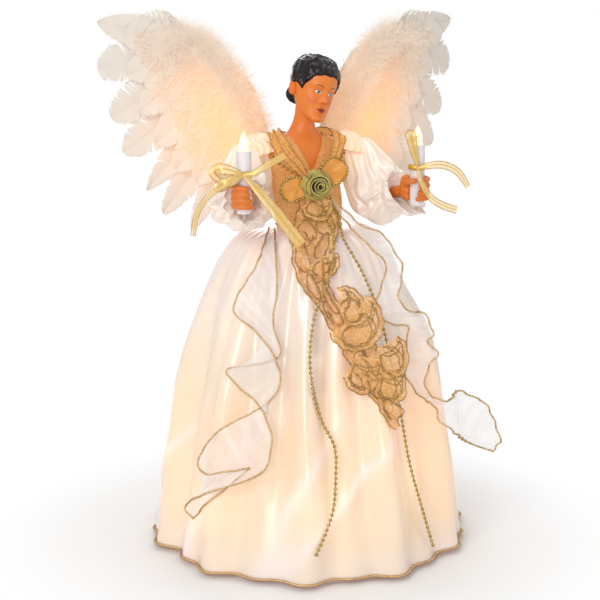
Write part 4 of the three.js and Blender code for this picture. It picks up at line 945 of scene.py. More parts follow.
CHEST_SIDE = -4
CHEST_WIDE = 22
CHEST_DEEP = 16.5
COLLAR_HALF = np.array([
    [2.0, -19.6, 217.0], [5.9, -19.9, 224.2], [9.8, -18.7, 229.9], [14.0, -13.6, 238.3], [14.4, -4.3, 242.3],
    [12.4, 6.1, 242.3], [7.8, 14.9, 239.8],
])
COLLAR_STEPS = 460
COLLAR_ROWS = 34
COLLAR_WIDTHS = [[0, 3.0], [6, 6.5], [14, 9.5], [26, 11.0], [36, 9.0], [50, 7.5], [90, 7.0]]
collar_line = through(np.concatenate([
    COLLAR_HALF, [[0, 17.3, 237.8]], COLLAR_HALF[::-1] * [-1, 1, 1],
]), COLLAR_STEPS)
collar_run = run_of(collar_line)
collar_x, collar_y = collar_line[:, 0], collar_line[:, 1]
collar_front = 1 - ease(collar_line[:, 1:2], -17, -7)
collar_turn = np.arctan2(np.abs(collar_x) / CHEST_WIDE, -collar_y / CHEST_DEEP)
collar_level = np.ones(COLLAR_STEPS)
collar_out = unit(
    collar_front * unit(np.stack([
        np.sign(collar_x) * CHEST_WIDE * np.cos(collar_turn), CHEST_DEEP * np.sin(collar_turn),
        -8.0 * collar_level], -1))
    + (1 - collar_front) * unit(np.stack([1.5 * collar_x, 0.6 * collar_y, -5.0 * collar_level], -1))
)
collar_along = unit(np.gradient(collar_line, axis=0))
collar_up = unit(np.cross(collar_along, collar_out))
collar_up = collar_up * np.sign((collar_up * [1, 1, 0.5] * (collar_line + [0, 0, -225])).sum(1))[:, None]
collar_wide = smooth_rows(COLLAR_WIDTHS, np.minimum(collar_run, collar_run[-1] - collar_run))
collar_reach = np.linspace(0, 1, COLLAR_ROWS)
collar_long = collar_run[:, None]
collar_crinkle = np.sin(collar_long * 1.9 + 4 * collar_reach + 2 * np.sin(collar_long * 0.21))
collar_lift = (
    0.9 * np.cos(collar_reach * 2 * math.pi * 2.6 + 0.9 * np.sin(collar_long * 0.4))
    + 0.45 * collar_crinkle * collar_reach - 1.6 * collar_reach ** 2
)
collar_points = (
    collar_line[:, None]
    + collar_out[:, None] * (collar_wide * collar_reach)[:, :, None]
    + collar_up[:, None] * collar_lift[:, :, None]
    + np.array([CHEST_SIDE, 0, 0])
)
collar_lace = lace_finish(
    "collar_lace", (1.0, 0.53, 0.15), (0.34, 0.14, 0.025), cover=0.85, cell=300, warm=0.28)
collar = add_piece("collar_ruffle", collar_points, sheet_faces(COLLAR_STEPS, COLLAR_ROWS), collar_lace,
                   "figure", "lace", flat_of(collar_long * 1.4, collar_wide * collar_reach))
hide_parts("lace_collar")

# A picot of small loops runs along the ruffle's free edge, and plain gold thread along its gathers.
PICOT_PITCH = 2.7
GATHER_ROWS = (0, 13, 26)
picot_run = np.linspace(0, collar_run[-1], 1500)
picot_turn = (picot_run * 2 * math.pi / PICOT_PITCH)[:, None]
picot_line = (
    at_run(picot_run, collar_run, collar_points[:, -1])
    + at_run(picot_run, collar_run, collar_out) * (0.55 - 0.85 * np.cos(picot_turn))
    + at_run(picot_run, collar_run, collar_along) * (0.85 * np.sin(picot_turn))
)
old_gold = mottled_finish(
    "old_gold", (0.66, 0.39, 0.13), (0.30, 0.16, 0.04), scale=900, roughness=0.36, metallic=0.5,
    bump=0.4, depth=0.0002)
collar_edge = twisted_cord(
    "collar_edge", [picot_line, *(collar_points[:, row] for row in GATHER_ROWS)], old_gold, "figure",
    radius=0.36, pitch=1.8)

# The head of each sleeve is a gathered half dome of the sleeve's satin on the shoulder, sewn to the
# bodice, with warm light from inside painted on it as a glow.
CAP_ROWS = 40
CAP_COLUMNS = 120
CAP_TILT = 0.2
cap_reach, cap_turn = grid_of(np.linspace(0.02, 1, CAP_ROWS), np.linspace(0, 2 * math.pi, CAP_COLUMNS))
cap_size = 11.6 + 0.5 * np.sin(cap_turn * 17 + 3 * np.sin(cap_reach * 6)) * cap_reach
cap_up = cap_size * np.cos(cap_reach * 1.5)
cap_across = cap_size * np.sin(cap_reach * 1.5) * np.cos(cap_turn)
cap_along = cap_size * np.sin(cap_reach * 1.5) * np.sin(cap_turn)
shoulder_satin = satin_finish("shoulder_satin", (0.95, 0.70, 0.48), (0.93, 0.74, 0.55))
for cap_side, cap_name in ((-1, "right"), (1, "left")):
    cap_points = np.stack([
        cap_across * 0.95 + cap_side * CAP_TILT * cap_up,
        cap_along * 1.05,
        cap_up - CAP_TILT * cap_side * cap_across,
    ], -1) + [CHEST_SIDE + cap_side * 26.5, -1.5, 229.8]
    cap = add_piece(f"sleeve_head_{cap_name}", cap_points, sheet_faces(CAP_ROWS, CAP_COLUMNS), shoulder_satin,
                    "figure", "satin", flat_of(cap_across, cap_along),
                    {"glow": np.tile([0.20, 0.10, 0.03], (len(cap_points), 1))})

# The lace panel: a long scalloped strip of gold lace gathered under the rose. It falls down the
# front of the skirt, is drawn in half way, and ends bunched and tacked at the figure's left.


def route_of(free, laid):
    """Places of a line: some free in space, then some over the skirt by angle, height and lift."""
    return np.concatenate([np.reshape(free, (-1, 3)), on_skirt(*np.transpose(laid))])


LACE_ROUTE = route_of([(-4, -20.8, 207.8), (-3.2, -24.0, 197.8)], [
    (-12, 184, 5), (-17, 174, 5), (-14, 161, 5), (-6, 147, 5), (1, 134, 6), (7, 120, 7), (11, 107, 7),
    (14, 95, 6), (17, 84, 5),
])
LACE_WIDTHS = [
    [0, 7.5], [0.08, 11], [0.25, 10], [0.37, 8], [0.46, 5], [0.55, 6], [0.66, 8], [0.8, 8], [0.93, 5], [1, 2],
]
LACE_STEPS = 520
LACE_ROWS = 52
lace_line = through(LACE_ROUTE, LACE_STEPS)
lace_slope = np.gradient(lace_line, axis=0)
lace_face = unit(lace_line * [1, 1, 0] + [0, 0, 12])
lace_across = unit(np.cross(lace_slope, lace_face))
lace_long = run_of(lace_line)[:, None]
lace_share = lace_long[:, 0] / lace_long[-1]
lace_half = smooth_rows(LACE_WIDTHS, lace_share)
lace_scallop = 1 + 0.10 * np.abs(np.sin(lace_long * math.pi / 7.4 + 0.6 * np.sin(lace_long * 0.3)))
lace_bunch = ease(lace_share, 0.46, 0.62)[:, None]
lace_reach = np.linspace(-1, 1, LACE_ROWS)
lace_spot = np.stack(np.broadcast_arrays(lace_long, 14 * lace_reach, 0 * lace_reach), -1).reshape(-1, 3)
lace_fold = ripple(lace_spot * [1, 0.8, 1], 0.075, 8).reshape(LACE_STEPS, LACE_ROWS)
lace_crumple = ripple(lace_spot, 0.17, 9).reshape(LACE_STEPS, LACE_ROWS)
lace_lift = (
    1.1 * np.sin(lace_reach * 8.5 + 2.2 * np.sin(lace_long * 0.06)) * (1 - lace_bunch)
    + 1.2 * lace_crumple
    + lace_bunch * (3.0 * lace_fold + 1.5 * lace_crumple)
    + 1.8 * np.abs(lace_reach) ** 3 * np.sin(lace_long * 2 * math.pi / 9.5)
)
lace_points = clear_of_skirt(
    lace_line[:, None]
    + lace_across[:, None] * (lace_half * lace_scallop * lace_reach)[:, :, None]
    + lace_face[:, None] * lace_lift[:, :, None], 1.0)
lace_map = flat_of(lace_long * 1.2, lace_half * lace_reach)

# The strip's loose turns stand up from it as shells: share of the length, reach, heading in degrees
# from straight down the strip, radius, half spread in degrees and lift.
LACE_SHELLS = [
    (0.02, 0.0, 0, 15, 62, 1.6), (0.2, 0.3, 15, 13, 70, 2.0), (0.3, -0.5, -30, 12, 75, 2.0),
    (0.5, -0.6, -70, 14, 85, 3.0), (0.55, -0.9, -10, 18, 105, 4.8), (0.66, 0.5, 8, 22, 58, 3.2),
    (0.68, -1.0, -30, 21, 60, 4.4), (0.75, -0.5, -8, 20, 56, 3.4),
]
SHELL_ROWS = 16
SHELL_COLUMNS = 90


def shell_form(number, share, side, heading, size, spread, lift):
    """One shell of the lace: its grid of points and its flat map."""
    row = int(share * (LACE_STEPS - 1))
    across, face = lace_across[row], lace_face[row]
    down = unit(np.cross(face, across))
    down = down * np.sign((down * lace_slope[row]).sum())
    heart = lace_line[row] + across * lace_half[row] * side
    turn_row = np.radians(np.linspace(-spread, spread, SHELL_COLUMNS))
    reach, turn = np.meshgrid(np.linspace(0.04, 1, SHELL_ROWS), turn_row, indexing="ij")
    wave = np.sin(4 * turn + 2.1 * number + 0.8 * np.sin(3 * turn + number))
    edge = np.abs(turn) / math.radians(spread)
    rim = 1 + 0.05 * np.abs(np.sin(7 * turn)) - 0.2 * edge ** 2
    if spread < 70:
        rim = rim - 0.2 * edge
    run = size * rim * reach
    aim = turn + math.radians(heading)
    rise = 1.2 + lift * np.sin(reach * math.pi * 0.8) + 1.5 * wave * reach ** 1.5
    points = (
        heart + down * (run * np.cos(aim))[:, :, None] + across * (run * np.sin(aim))[:, :, None]
        + face * rise[:, :, None]
    )
    return clear_of_skirt(points, 1.2), flat_of(run * np.cos(turn), run * np.sin(turn)) + number * 0.04


shells = [shell_form(number, *row) for number, row in enumerate(LACE_SHELLS)]
panel_lace = lace_finish(
    "panel_lace", (1.0, 0.58, 0.25), (0.58, 0.28, 0.06), cover=0.6, cell=110, warm=0.16)
panel_points, panel_faces = joined([(lace_points.reshape(-1, 3), sheet_faces(LACE_STEPS, LACE_ROWS))] + [
    (points.reshape(-1, 3), sheet_faces(SHELL_ROWS, SHELL_COLUMNS)) for points, flat in shells])
panel_map = np.concatenate([lace_map.reshape(-1, 2)] + [flat.reshape(-1, 2) for points, flat in shells])
lace_panel = add_piece("lace_panel", panel_points, panel_faces, panel_lace, "figure", "lace", panel_map)
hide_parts("lace_cascade")


def on_lace(share, reach):
    """Points a little above the lace, by share of its length and reach from its middle."""
    row = np.clip(share, 0, 0.999) * (LACE_STEPS - 1)
    column = (np.clip(reach, -1, 0.999) + 1) / 2 * (LACE_ROWS - 1)
    return between(lace_points, row, column) + 0.5 * lace_face[row.astype(int)]


# Heavier gold cord follows both edges and is worked on the lace in leaves, and in curls on the bunch.
LEAF_COUNT = 18
lace_dice = np.random.default_rng(4)
leaf_turn = np.linspace(0, 2 * math.pi, 60)
trim_lines = [lace_points[:, 0], lace_points[:, -1]]
for leaf_number in range(LEAF_COUNT):
    leaf_share = 0.04 + 0.92 * leaf_number / LEAF_COUNT
    leaf_side = 1 if leaf_number % 2 else -1
    leaf_long = lace_dice.uniform(0.035, 0.06)
    leaf_heart = leaf_side * lace_dice.uniform(0.25, 0.5)
    leaf_wide = lace_dice.uniform(0.22, 0.42)
    leaf_lean = lace_dice.uniform(-0.5, 0.5)
    leaf_time = leaf_turn * (1 if leaf_share < 0.5 else 1.6)
    leaf_curl = leaf_turn / (2 * math.pi) if leaf_share > 0.5 else 1
    trim_lines.append(on_lace(
        leaf_share + leaf_long * np.cos(leaf_time) * leaf_curl,
        leaf_heart + leaf_wide * np.sin(leaf_time) * (1 + 0.5 * np.cos(leaf_turn)) * leaf_curl
        + leaf_lean * np.cos(leaf_turn) * 0.4))
curl_time = np.linspace(0, 2 * math.pi, 120)
for shell_number, shell_points in enumerate(points for points, flat in shells):
    curl_row = (SHELL_ROWS - 1) * (0.52 + 0.34 * np.sin(3 * curl_time + shell_number))
    curl_column = (SHELL_COLUMNS - 1) * (0.5 + 0.4 * np.cos(2 * curl_time + 0.7 * shell_number))
    trim_lines += [shell_points[-1], shell_points[12, 6:84],
                   shell_points[np.rint(curl_row).astype(int), np.rint(curl_column).astype(int)]]
lace_trim = twisted_cord("lace_trim", trim_lines, old_gold, "figure", radius=0.45, pitch=2.2)

# The rose and its bow: a rose rolled from olive-gold ribbon, its outer turns folded back as
# petals, on a bow of two wired bead loops filled with amber satin.
ROSE_HEART = np.array([-4, -25.3, 213.8])
ROSE_TURNS = 3.6
ROSE_STEPS = 420
ROSE_ROWS = 18
PETAL_ROWS = 18
PETAL_COLUMNS = 30
# Petals in each ring, their reach and the depth of their cup.
PETAL_RINGS = [(4, 7.0, 6.6), (5, 8.3, 4.8), (6, 9.2, 2.6)]


def round_rose(turn, radius, front):
    """Points of the rose round its heart."""
    return np.stack([radius * np.cos(turn), -front, radius * np.sin(turn)], -1) + ROSE_HEART


def rolled_form():
    """The rolled middle of the rose: its points, and how far out of the folds they lie."""
    reach, share = grid_of(np.linspace(0, 1, ROSE_ROWS), np.linspace(0, 1, ROSE_STEPS))
    turn = share * ROSE_TURNS * 2 * math.pi
    radius = 0.5 + 4.6 * share + 0.22 * np.sin(turn * 1.7)
    radius = radius + (0.25 + share) * reach ** 2 + 0.55 * ease(reach, 0.8, 1)
    front = (8.6 - 2.2 * share + 0.45 * np.sin(turn * 2.3)) * np.sin(reach * 1.72)
    return round_rose(turn, radius, front), reach


def petal_form(ring, number, count, size, cup):
    """One folded petal of the rose: its points, and how far out of the folds they lie."""
    reach, side = grid_of(np.linspace(0, 1, PETAL_ROWS), np.linspace(-1, 1, PETAL_COLUMNS))
    turn = (number + 0.37 * ring) * 2 * math.pi / count
    turn = turn + side * 3.6 / count * np.sqrt(np.sin(0.3 + reach * 1.9))
    radius = 2.2 + (size - 2.2) * reach * (1 - 0.16 * side ** 4) + 0.35 * side
    front = cup * reach ** 0.75 - 1.9 * ease(reach, 0.74, 1.02) ** 1.3
    front = front + 0.3 * np.sin(side * 5 + 2 * number) * reach + 0.25 * side
    return round_rose(turn, radius, front), reach * (1 - 0.3 * side ** 2)


rolled_points, rolled_depth = rolled_form()
petals = [
    petal_form(ring, number, count, size, cup)
    for ring, (count, size, cup) in enumerate(PETAL_RINGS) for number in range(count)
]
rose_points, rose_faces = joined([(rolled_points, sheet_faces(ROSE_ROWS, ROSE_STEPS))] + [
    (points, sheet_faces(PETAL_ROWS, PETAL_COLUMNS)) for points, depth in petals])
# Painted shade and light on the rose: dark olive deep in its folds, light gold where the ribbon turns out.
rose_light = np.concatenate([rolled_depth] + [depth for points, depth in petals])[:, None] ** 2.5
rose_shaded_paint = np.array([0.10, 0.072, 0.008]) * (1 - rose_light) + np.array([0.56, 0.45, 0.10]) * rose_light
rose_finish, rose_tree = new_finish("olive_ribbon", {"Roughness": 0.36, "Metallic": 0.2, "Sheen Weight": 0.3})
feed(rose_tree, {
    "Base Color": paint_of(rose_tree, "tone"),
    "Normal": bump_of(rose_tree, mottle_on(rose_tree, 500)["Height"], 0.3, 0.0004),
})
rose = add_piece("rose_ribbon", rose_points, rose_faces, rose_finish, "figure", "tie_ribbon", None,
                 {"tone": rose_shaded_paint})
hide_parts("ribbon_rose")

# Follows lines with round beads on a thread.
bead_tree, bead_in, bead_keys = line_tree("bead_line", ["Radius", "Pitch"])
bead_line = tree_step(bead_tree, "GeometryNodeMeshToCurve", {"Mesh": bead_in["Geometry"]})
bead_spots = tree_step(bead_tree, "GeometryNodeResampleCurve", {
    "Curve": bead_line.outputs["Curve"], "Length": bead_in["Pitch"]}, mode="LENGTH")
bead_ball = tree_step(bead_tree, "GeometryNodeMeshUVSphere", {
    "Segments": 8, "Rings": 6, "Radius": bead_in["Radius"]})
bead_spin = tree_step(bead_tree, "FunctionNodeRandomValue", {
    "Max": (6.28, 6.28, 6.28), "Seed": 3}, data_type="FLOAT_VECTOR")
bead_set = tree_step(bead_tree, "GeometryNodeInstanceOnPoints", {
    "Points": bead_spots.outputs["Curve"], "Instance": bead_ball.outputs["Mesh"],
    "Rotation": bead_spin.outputs["Value"], "Scale": (1.0, 1.0, 0.86),
})
bead_ring = tree_step(bead_tree, "GeometryNodeCurvePrimitiveCircle", {
    "Resolution": 6, "Radius": tree_math(bead_tree, "MULTIPLY", bead_in["Radius"], 0.3)})
bead_thread = tree_step(bead_tree, "GeometryNodeCurveToMesh", {
    "Curve": bead_spots.outputs["Curve"], "Profile Curve": bead_ring.outputs["Curve"], "Fill Caps": True})
bead_join = tree_step(bead_tree, "GeometryNodeJoinGeometry", {"Geometry": bead_set.outputs["Instances"]})
bead_tree.links.new(bead_thread.outputs["Mesh"], bead_join.inputs["Geometry"])
end_tree(bead_tree, bead_join.outputs["Geometry"], bead_in["Finish"])
gold_bead = mottled_finish(
    "gold_bead", (0.56, 0.40, 0.11), (0.26, 0.16, 0.03), scale=900, roughness=0.24, metallic=0.85,
    bump=0.1, depth=0.0001)


def beads_on(name, runs, radius, pitch, closed=False):
    """Strings of gold beads along lines, as one piece."""
    values = dict(zip(bead_keys, (radius * MM, pitch * MM, gold_bead)))
    return grow_piece(name, *lines_of(runs, closed), [], bead_tree, values, "figure", "gold_bead")


LOOP_STEPS = 90
LOOP_ROWS = 20
# Lean from level in degrees, length and half width of each loop.
BOW_LOOPS = [(36, 20.5, 9.4), (188, 21.5, 8.4)]
loop_turn = around(LOOP_STEPS, 0)


def loop_edge(lean, size, wide):
    """The bead edge of one loop of the bow."""
    out = size * 0.5 * (1 - np.cos(loop_turn))
    up = wide * np.sin(loop_turn) * np.sin(loop_turn / 2) ** 0.8
    out, up = swung(out, up, math.radians(lean))
    return np.stack([out, 0.6 - 2.2 * np.sin(loop_turn / 2) ** 2, up], -1) + ROSE_HEART


def loop_cloth(edge):
    """The satin that fills a loop of the bow."""
    middle = edge.mean(axis=0) + [0, 1.0, 0]
    cloth = middle + (edge - middle) * np.linspace(0.02, 0.97, LOOP_ROWS)[:, None, None]
    cloth[:, :, 1] += 0.7 * np.sin(loop_turn * 5) * np.linspace(0, 1, LOOP_ROWS)[:, None]
    return cloth.reshape(-1, 3)


loop_edges = [loop_edge(*row) for row in BOW_LOOPS]
bow_points, bow_faces = joined([
    (loop_cloth(edge), sheet_faces(LOOP_ROWS, LOOP_STEPS, True)) for edge in loop_edges])
amber_satin = satin_finish("amber_satin", (0.84, 0.40, 0.10), (0.70, 0.27, 0.04), {
    "Specular IOR Level": 0.3, "Coat Weight": 0.0, "Sheen Weight": 0.0})
bow_beads = beads_on("bow_beads", loop_edges, radius=1.0, pitch=2.1, closed=True)
# A faint warm glow of light is painted on the bow's satin.
bow_cloth = add_piece("bow_cloth", bow_points, bow_faces, amber_satin, "figure", "lace",
                      bow_points[:, [0, 2]] * MM, {"glow": np.tile([0.06, 0.02, 0.0], (len(bow_points), 1))})
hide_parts("bead_bow")

# The bead strands: two strings of small gold beads hung from the rose and tacked down the skirt.
STRAND_ROUTES = {
    "long": route_of([(-0.8, -27.8, 201.8), (-0.4, -35.3, 194.8)], [
        (-1, 182, 10), (-4, 172, 9.5), (-10, 158, 9.5), (-15, 147, 10.5), (-17.5, 130, 8.5), (-17, 113, 5),
        (-13, 91, 3.6), (-8, 76, 3.6), (-8, 57, 3.6), (-9.5, 40, 3.6), (-15.5, 20, 3.6),
    ]),
    "short": route_of([(5, -25.3, 202.8), (8, -29.3, 194.8)], [
        (9, 181, 5), (14, 166, 4), (17.5, 147, 4), (20, 127, 4), (21.5, 107, 4), (23, 84, 3.8),
        (24.5, 62, 3.6), (28, 36, 3.6), (32, 12, 3.6),
    ]),
}
for strand_name, strand_route in STRAND_ROUTES.items():
    strand_line = clear_of_skirt(through(strand_route, 300), 1.6)
    strand = beads_on(f"strand_{strand_name}", [strand_line], radius=1.05, pitch=2.9)
    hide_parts(f"bead_strand_{strand_name}")

# The ribbons: two lengths of sheer organza with a gold cord bound along both edges. One curls down
# the figure's right from the waist, the other tumbles down its left from under the rose to a tail
# that stands out.


def organza_finish(name, tone, cover):
    """Sheer organza: fine threads with gaps between them, a soft shine, and a faint glow of light painted in
    its own tone.
    """
    material, tree = new_finish(name, {
        "Roughness": 0.3, "Sheen Weight": 0.5, "Specular IOR Level": 0.7,
        "Emission Color": (*tone, 1), "Emission Strength": 0.1})
    shade = mottle_on(tree, 140, tone, [v * 0.86 for v in tone])
    drift = tree_math(tree, "MULTIPLY_ADD", shade["Height"], 0.3, cover - 0.25)
    feed(tree, {
        "Base Color": shade["Color"],
        "Alpha": tree_math(tree, "MULTIPLY_ADD", weave_on(tree, 1400), 0.1, drift),
    })
    return material


def even_line(places, count):
    """A smooth line through places, as that many points at even distances."""
    line = through(places, 400)
    run = run_of(line)
    return at_run(np.linspace(0, run[-1], count), run, line)


RIBBON_STEPS = 420
RIBBON_ROWS = 26


def ribbon_sheet(first, second, wave):
    """A ribbon's grid of points and flat map between its two edge lines."""
    upper = even_line(first, RIBBON_STEPS)
    lower = even_line(second, RIBBON_STEPS)
    middle = (upper + lower) / 2
    run = run_of(middle)[:, None]
    reach = np.linspace(0, 1, RIBBON_ROWS)
    points = upper[:, None] * (1 - reach)[:, None] + lower[:, None] * reach[:, None]
    face = unit(np.cross(np.gradient(middle, axis=0), lower - upper))
    swell = np.sin(reach * math.pi) * (0.6 + 0.4 * np.sin(run * 0.23)) * wave
    swell = swell + 0.25 * wave * np.sin(run * 0.55 + 6 * reach)
    wide = np.linalg.norm(lower - upper, axis=1, keepdims=True)
    return clear_of_skirt(points + face[:, None] * swell[:, :, None], 1.6), flat_of(run, wide * reach)


SPIRAL_FIRST = route_of([], [
    (-57, 186, 3), (-39, 174, 5), (-34, 158, 8), (-34, 141, 9), (-30, 125, 10), (-38, 120, 7), (-53, 115, 6),
    (-47, 106, 9), (-38.5, 100, 10), (-32.5, 87, 11), (-31.5, 80, 11), (-33.5, 65, 10), (-43, 55.5, 8),
    (-55, 48, 6), (-68.5, 33.5, 6), (-64, 29, 6),
])
SPIRAL_SECOND = route_of([], [
    (-65, 186, 3), (-49.5, 170, 6), (-53, 146, 10), (-41, 136, 12), (-32.5, 124.5, 12), (-29.5, 111, 9),
    (-34.5, 100, 6), (-54, 80.5, 7), (-59.5, 62.5, 11), (-53, 59.5, 12), (-47, 61, 10), (-40, 64, 8),
])
TUMBLE_FIRST = route_of([(4.6, -26.5, 205), (10.5, -29, 200.8)], [
    (24, 183, 11), (33.5, 178, 13), (35, 170, 13), (37, 164.5, 13), (31.5, 156, 11), (28.5, 149, 10),
    (32, 142.5, 11), (42.5, 138.5, 13), (42.5, 133, 15), (43, 127, 15), (42, 124, 12), (43.5, 116, 14),
    (41, 111, 12), (36, 104, 11), (37, 95, 12), (43, 90, 15), (66, 87, 13), (70, 80.5, 22), (74, 72, 31),
    (77, 57, 34), (78, 45.5, 35),
])
TUMBLE_SECOND = route_of([(5.5, -25.5, 203), (11, -29, 194.5)], [
    (21, 181, 7), (26, 173, 8), (29.5, 167, 8), (22, 157.5, 8), (14.5, 146, 6), (22, 138, 8), (30, 134, 10),
    (27.5, 125.5, 9), (25.5, 113.5, 8), (28, 102.5, 8), (34, 94, 9), (41, 86, 11), (40, 80, 13),
    (43, 72.5, 16), (70, 52, 17.5), (76, 42, 30.5),
])
organza = organza_finish("peach_organza", (0.93, 0.87, 0.83), 0.44)
for ribbon_name, ribbon_first, ribbon_second, ribbon_flat, ribbon_wave in (
    ("spiral_ribbon", SPIRAL_FIRST, SPIRAL_SECOND, (0.018, 0.24), 1.6),
    ("cascade_ribbon", TUMBLE_FIRST, TUMBLE_SECOND, (0.017, 0.25), 3.0),
):
    ribbon_points, ribbon_map = ribbon_sheet(ribbon_first, ribbon_second, ribbon_wave)
    ribbon = add_piece(f"{ribbon_name}_sheer", ribbon_points, sheet_faces(RIBBON_STEPS, RIBBON_ROWS), organza,
                       "figure", "organza", ribbon_map)
    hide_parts(ribbon_name)
    ribbon_cords = twisted_cord(
        f"{ribbon_name}_edges", [ribbon_points[:, 0], ribbon_points[:, -1], ribbon_points[-1]],
        gold_cord, "figure", radius=0.62, pitch=3.0)

# The arms: puffed sleeves of ivory satin on a wire, gathered at the shoulder and the wrist. The
# crumpled cloth comes from a cloth simulation of a full tube held at both ends.
SIM_SCALE = 0.02
MOST_MOVE = 7
SLEEVE_ROWS = 72
SLEEVE_COLUMNS = 96
ARM_STEPS = 200
# The sleeve's radius at shares of the way along the arm's line from the shoulder to the wrist.
SLEEVE_FORM = [[0, 10], [0.14, 12.2], [0.34, 14.6], [0.55, 15.8], [0.76, 15.4], [0.92, 12.4], [1.0, 9.6]]
ARM_SIDES = {"left": 1, "right": -1}


def arm_ends(side):
    """An arm's shoulder pivot, its wrist, and the level direction from one to the other."""
    pivot = np.array([side * 32 + CHEST_SIDE, 0, 230.8])
    wrist = np.array([side * 44 + CHEST_SIDE / 2, -29, 207.8])
    return pivot, wrist, unit((wrist - pivot) * [1, 1, 0])


def arm_line(side):
    """An arm's bent middle line from the shoulder to the wrist."""
    pivot, wrist, level = arm_ends(side)
    elbow = wrist - level * np.linalg.norm(wrist - pivot) * 0.25
    share = np.linspace(0, 1, ARM_STEPS)[:, None]
    return (1 - share) ** 2 * pivot + 2 * share * (1 - share) * elbow + share ** 2 * wrist


def arm_spots(side, run, out, angle):
    """Points at a run along the arm (0 shoulder, 1 wrist), out from its middle line, round it."""
    level = arm_ends(side)[2]
    line = arm_line(side)
    steps = run_of(line)
    run = run * steps[-1]
    inside = np.clip(run, 0, steps[-1])
    along = unit(at_run(inside, steps, np.gradient(line, axis=0)))
    middle = at_run(inside, steps, line) + along * (run - inside)[:, None]
    sideways = np.array([-level[1], level[0], 0])
    above = unit(np.array([0, 0, 1]) - along * along[:, 2:3])
    return middle + sideways * (out * np.cos(angle))[:, None] + above * (out * np.sin(angle))[:, None]


def crumple(points, faces, held, growth, pressure, frames):
    """Runs cloth on a mesh in millimetres, held at some points; returns its settled points."""
    mesh = bpy.data.meshes.new("crumple")
    mesh.from_pydata((points * SIM_SCALE).tolist(), [], [tuple(face) for face in faces])
    cloth = in_scene("crumple", mesh)
    cloth.vertex_groups.new(name="held").add([int(i) for i in held], 1.0, "REPLACE")
    settings = cloth.modifiers.new("cloth", "CLOTH").settings
    settings.quality = 6
    settings.mass = 0.15
    settings.tension_stiffness = 12
    settings.compression_stiffness = 12
    settings.shear_stiffness = 4
    settings.bending_stiffness = 0.08
    settings.air_damping = 4
    settings.vertex_group_mass = "held"
    settings.shrink_min = -growth
    settings.use_pressure = True
    settings.uniform_pressure_force = pressure
    settings.effector_weights.gravity = 0.4
    scene = bpy.context.scene
    for frame_number in range(1, frames + 1):
        scene.frame_set(frame_number)
    move = points_of(cloth.evaluated_get(bpy.context.evaluated_depsgraph_get()).data) / SIM_SCALE - points
    bpy.data.objects.remove(cloth)
    scene.frame_set(1)
    reach = np.linalg.norm(move, axis=1, keepdims=True)
    return points + move * np.minimum(1, MOST_MOVE / np.maximum(reach, 1e-6))


def points_of(mesh):
    """A mesh's points as rows."""
    places = np.empty(len(mesh.vertices) * 3)
    mesh.vertices.foreach_get("co", places)
    return places.reshape(-1, 3)


sleeve_satin = satin_finish("sleeve_satin", (0.90, 0.80, 0.72), (0.87, 0.75, 0.66))
sleeve_share, sleeve_turn = grid_of(np.linspace(0, 1, SLEEVE_ROWS), around(SLEEVE_COLUMNS, 0))
sleeve_loose = np.sin(sleeve_share * math.pi)
sleeve_fold = 0.07 * np.sin(7 * sleeve_turn + 9 * sleeve_share)
sleeve_fold = sleeve_fold + 0.05 * np.sin(13 * sleeve_turn - 14 * sleeve_share)
sleeve_out = smooth_rows(SLEEVE_FORM, sleeve_share)[:, 0] * (1 + sleeve_fold * sleeve_loose)
sleeve_faces = sheet_faces(SLEEVE_ROWS, SLEEVE_COLUMNS, True)
sleeve_held = np.flatnonzero((sleeve_share < 0.03) | (sleeve_share > 0.97))
# Painted light on the sleeves: a faint glow all over, and warm light painted near the shoulder.
sleeve_glow = [0.06, 0.05, 0.04] + (1 - ease(sleeve_share, 0.05, 0.6))[:, None] * [0.14, 0.06, 0.01]
for arm_name, arm_side in ARM_SIDES.items():
    sleeve_points = arm_spots(arm_side, sleeve_share, sleeve_out, sleeve_turn)
    sleeve_points = sleeve_points + sleeve_loose[:, None] * [arm_side * 4.5, 0, -3.0]
    sleeve_points = crumple(
        sleeve_points, sleeve_faces, sleeve_held, growth=0.28, pressure=0.8, frames=30)
    sleeve = add_piece(f"sleeve_satin_{arm_name}", sleeve_points, sleeve_faces[:, ::-1], sleeve_satin,
                       None, "satin", flat_of(sleeve_turn * 14, sleeve_share * 55), {"glow": sleeve_glow})
    sleeve_soft = sleeve.modifiers.new("soft", "SUBSURF")
    sleeve_soft.levels = 1
    sleeve_soft.render_levels = 1
    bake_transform(sleeve)
    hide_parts(f"sleeve_{arm_name}")

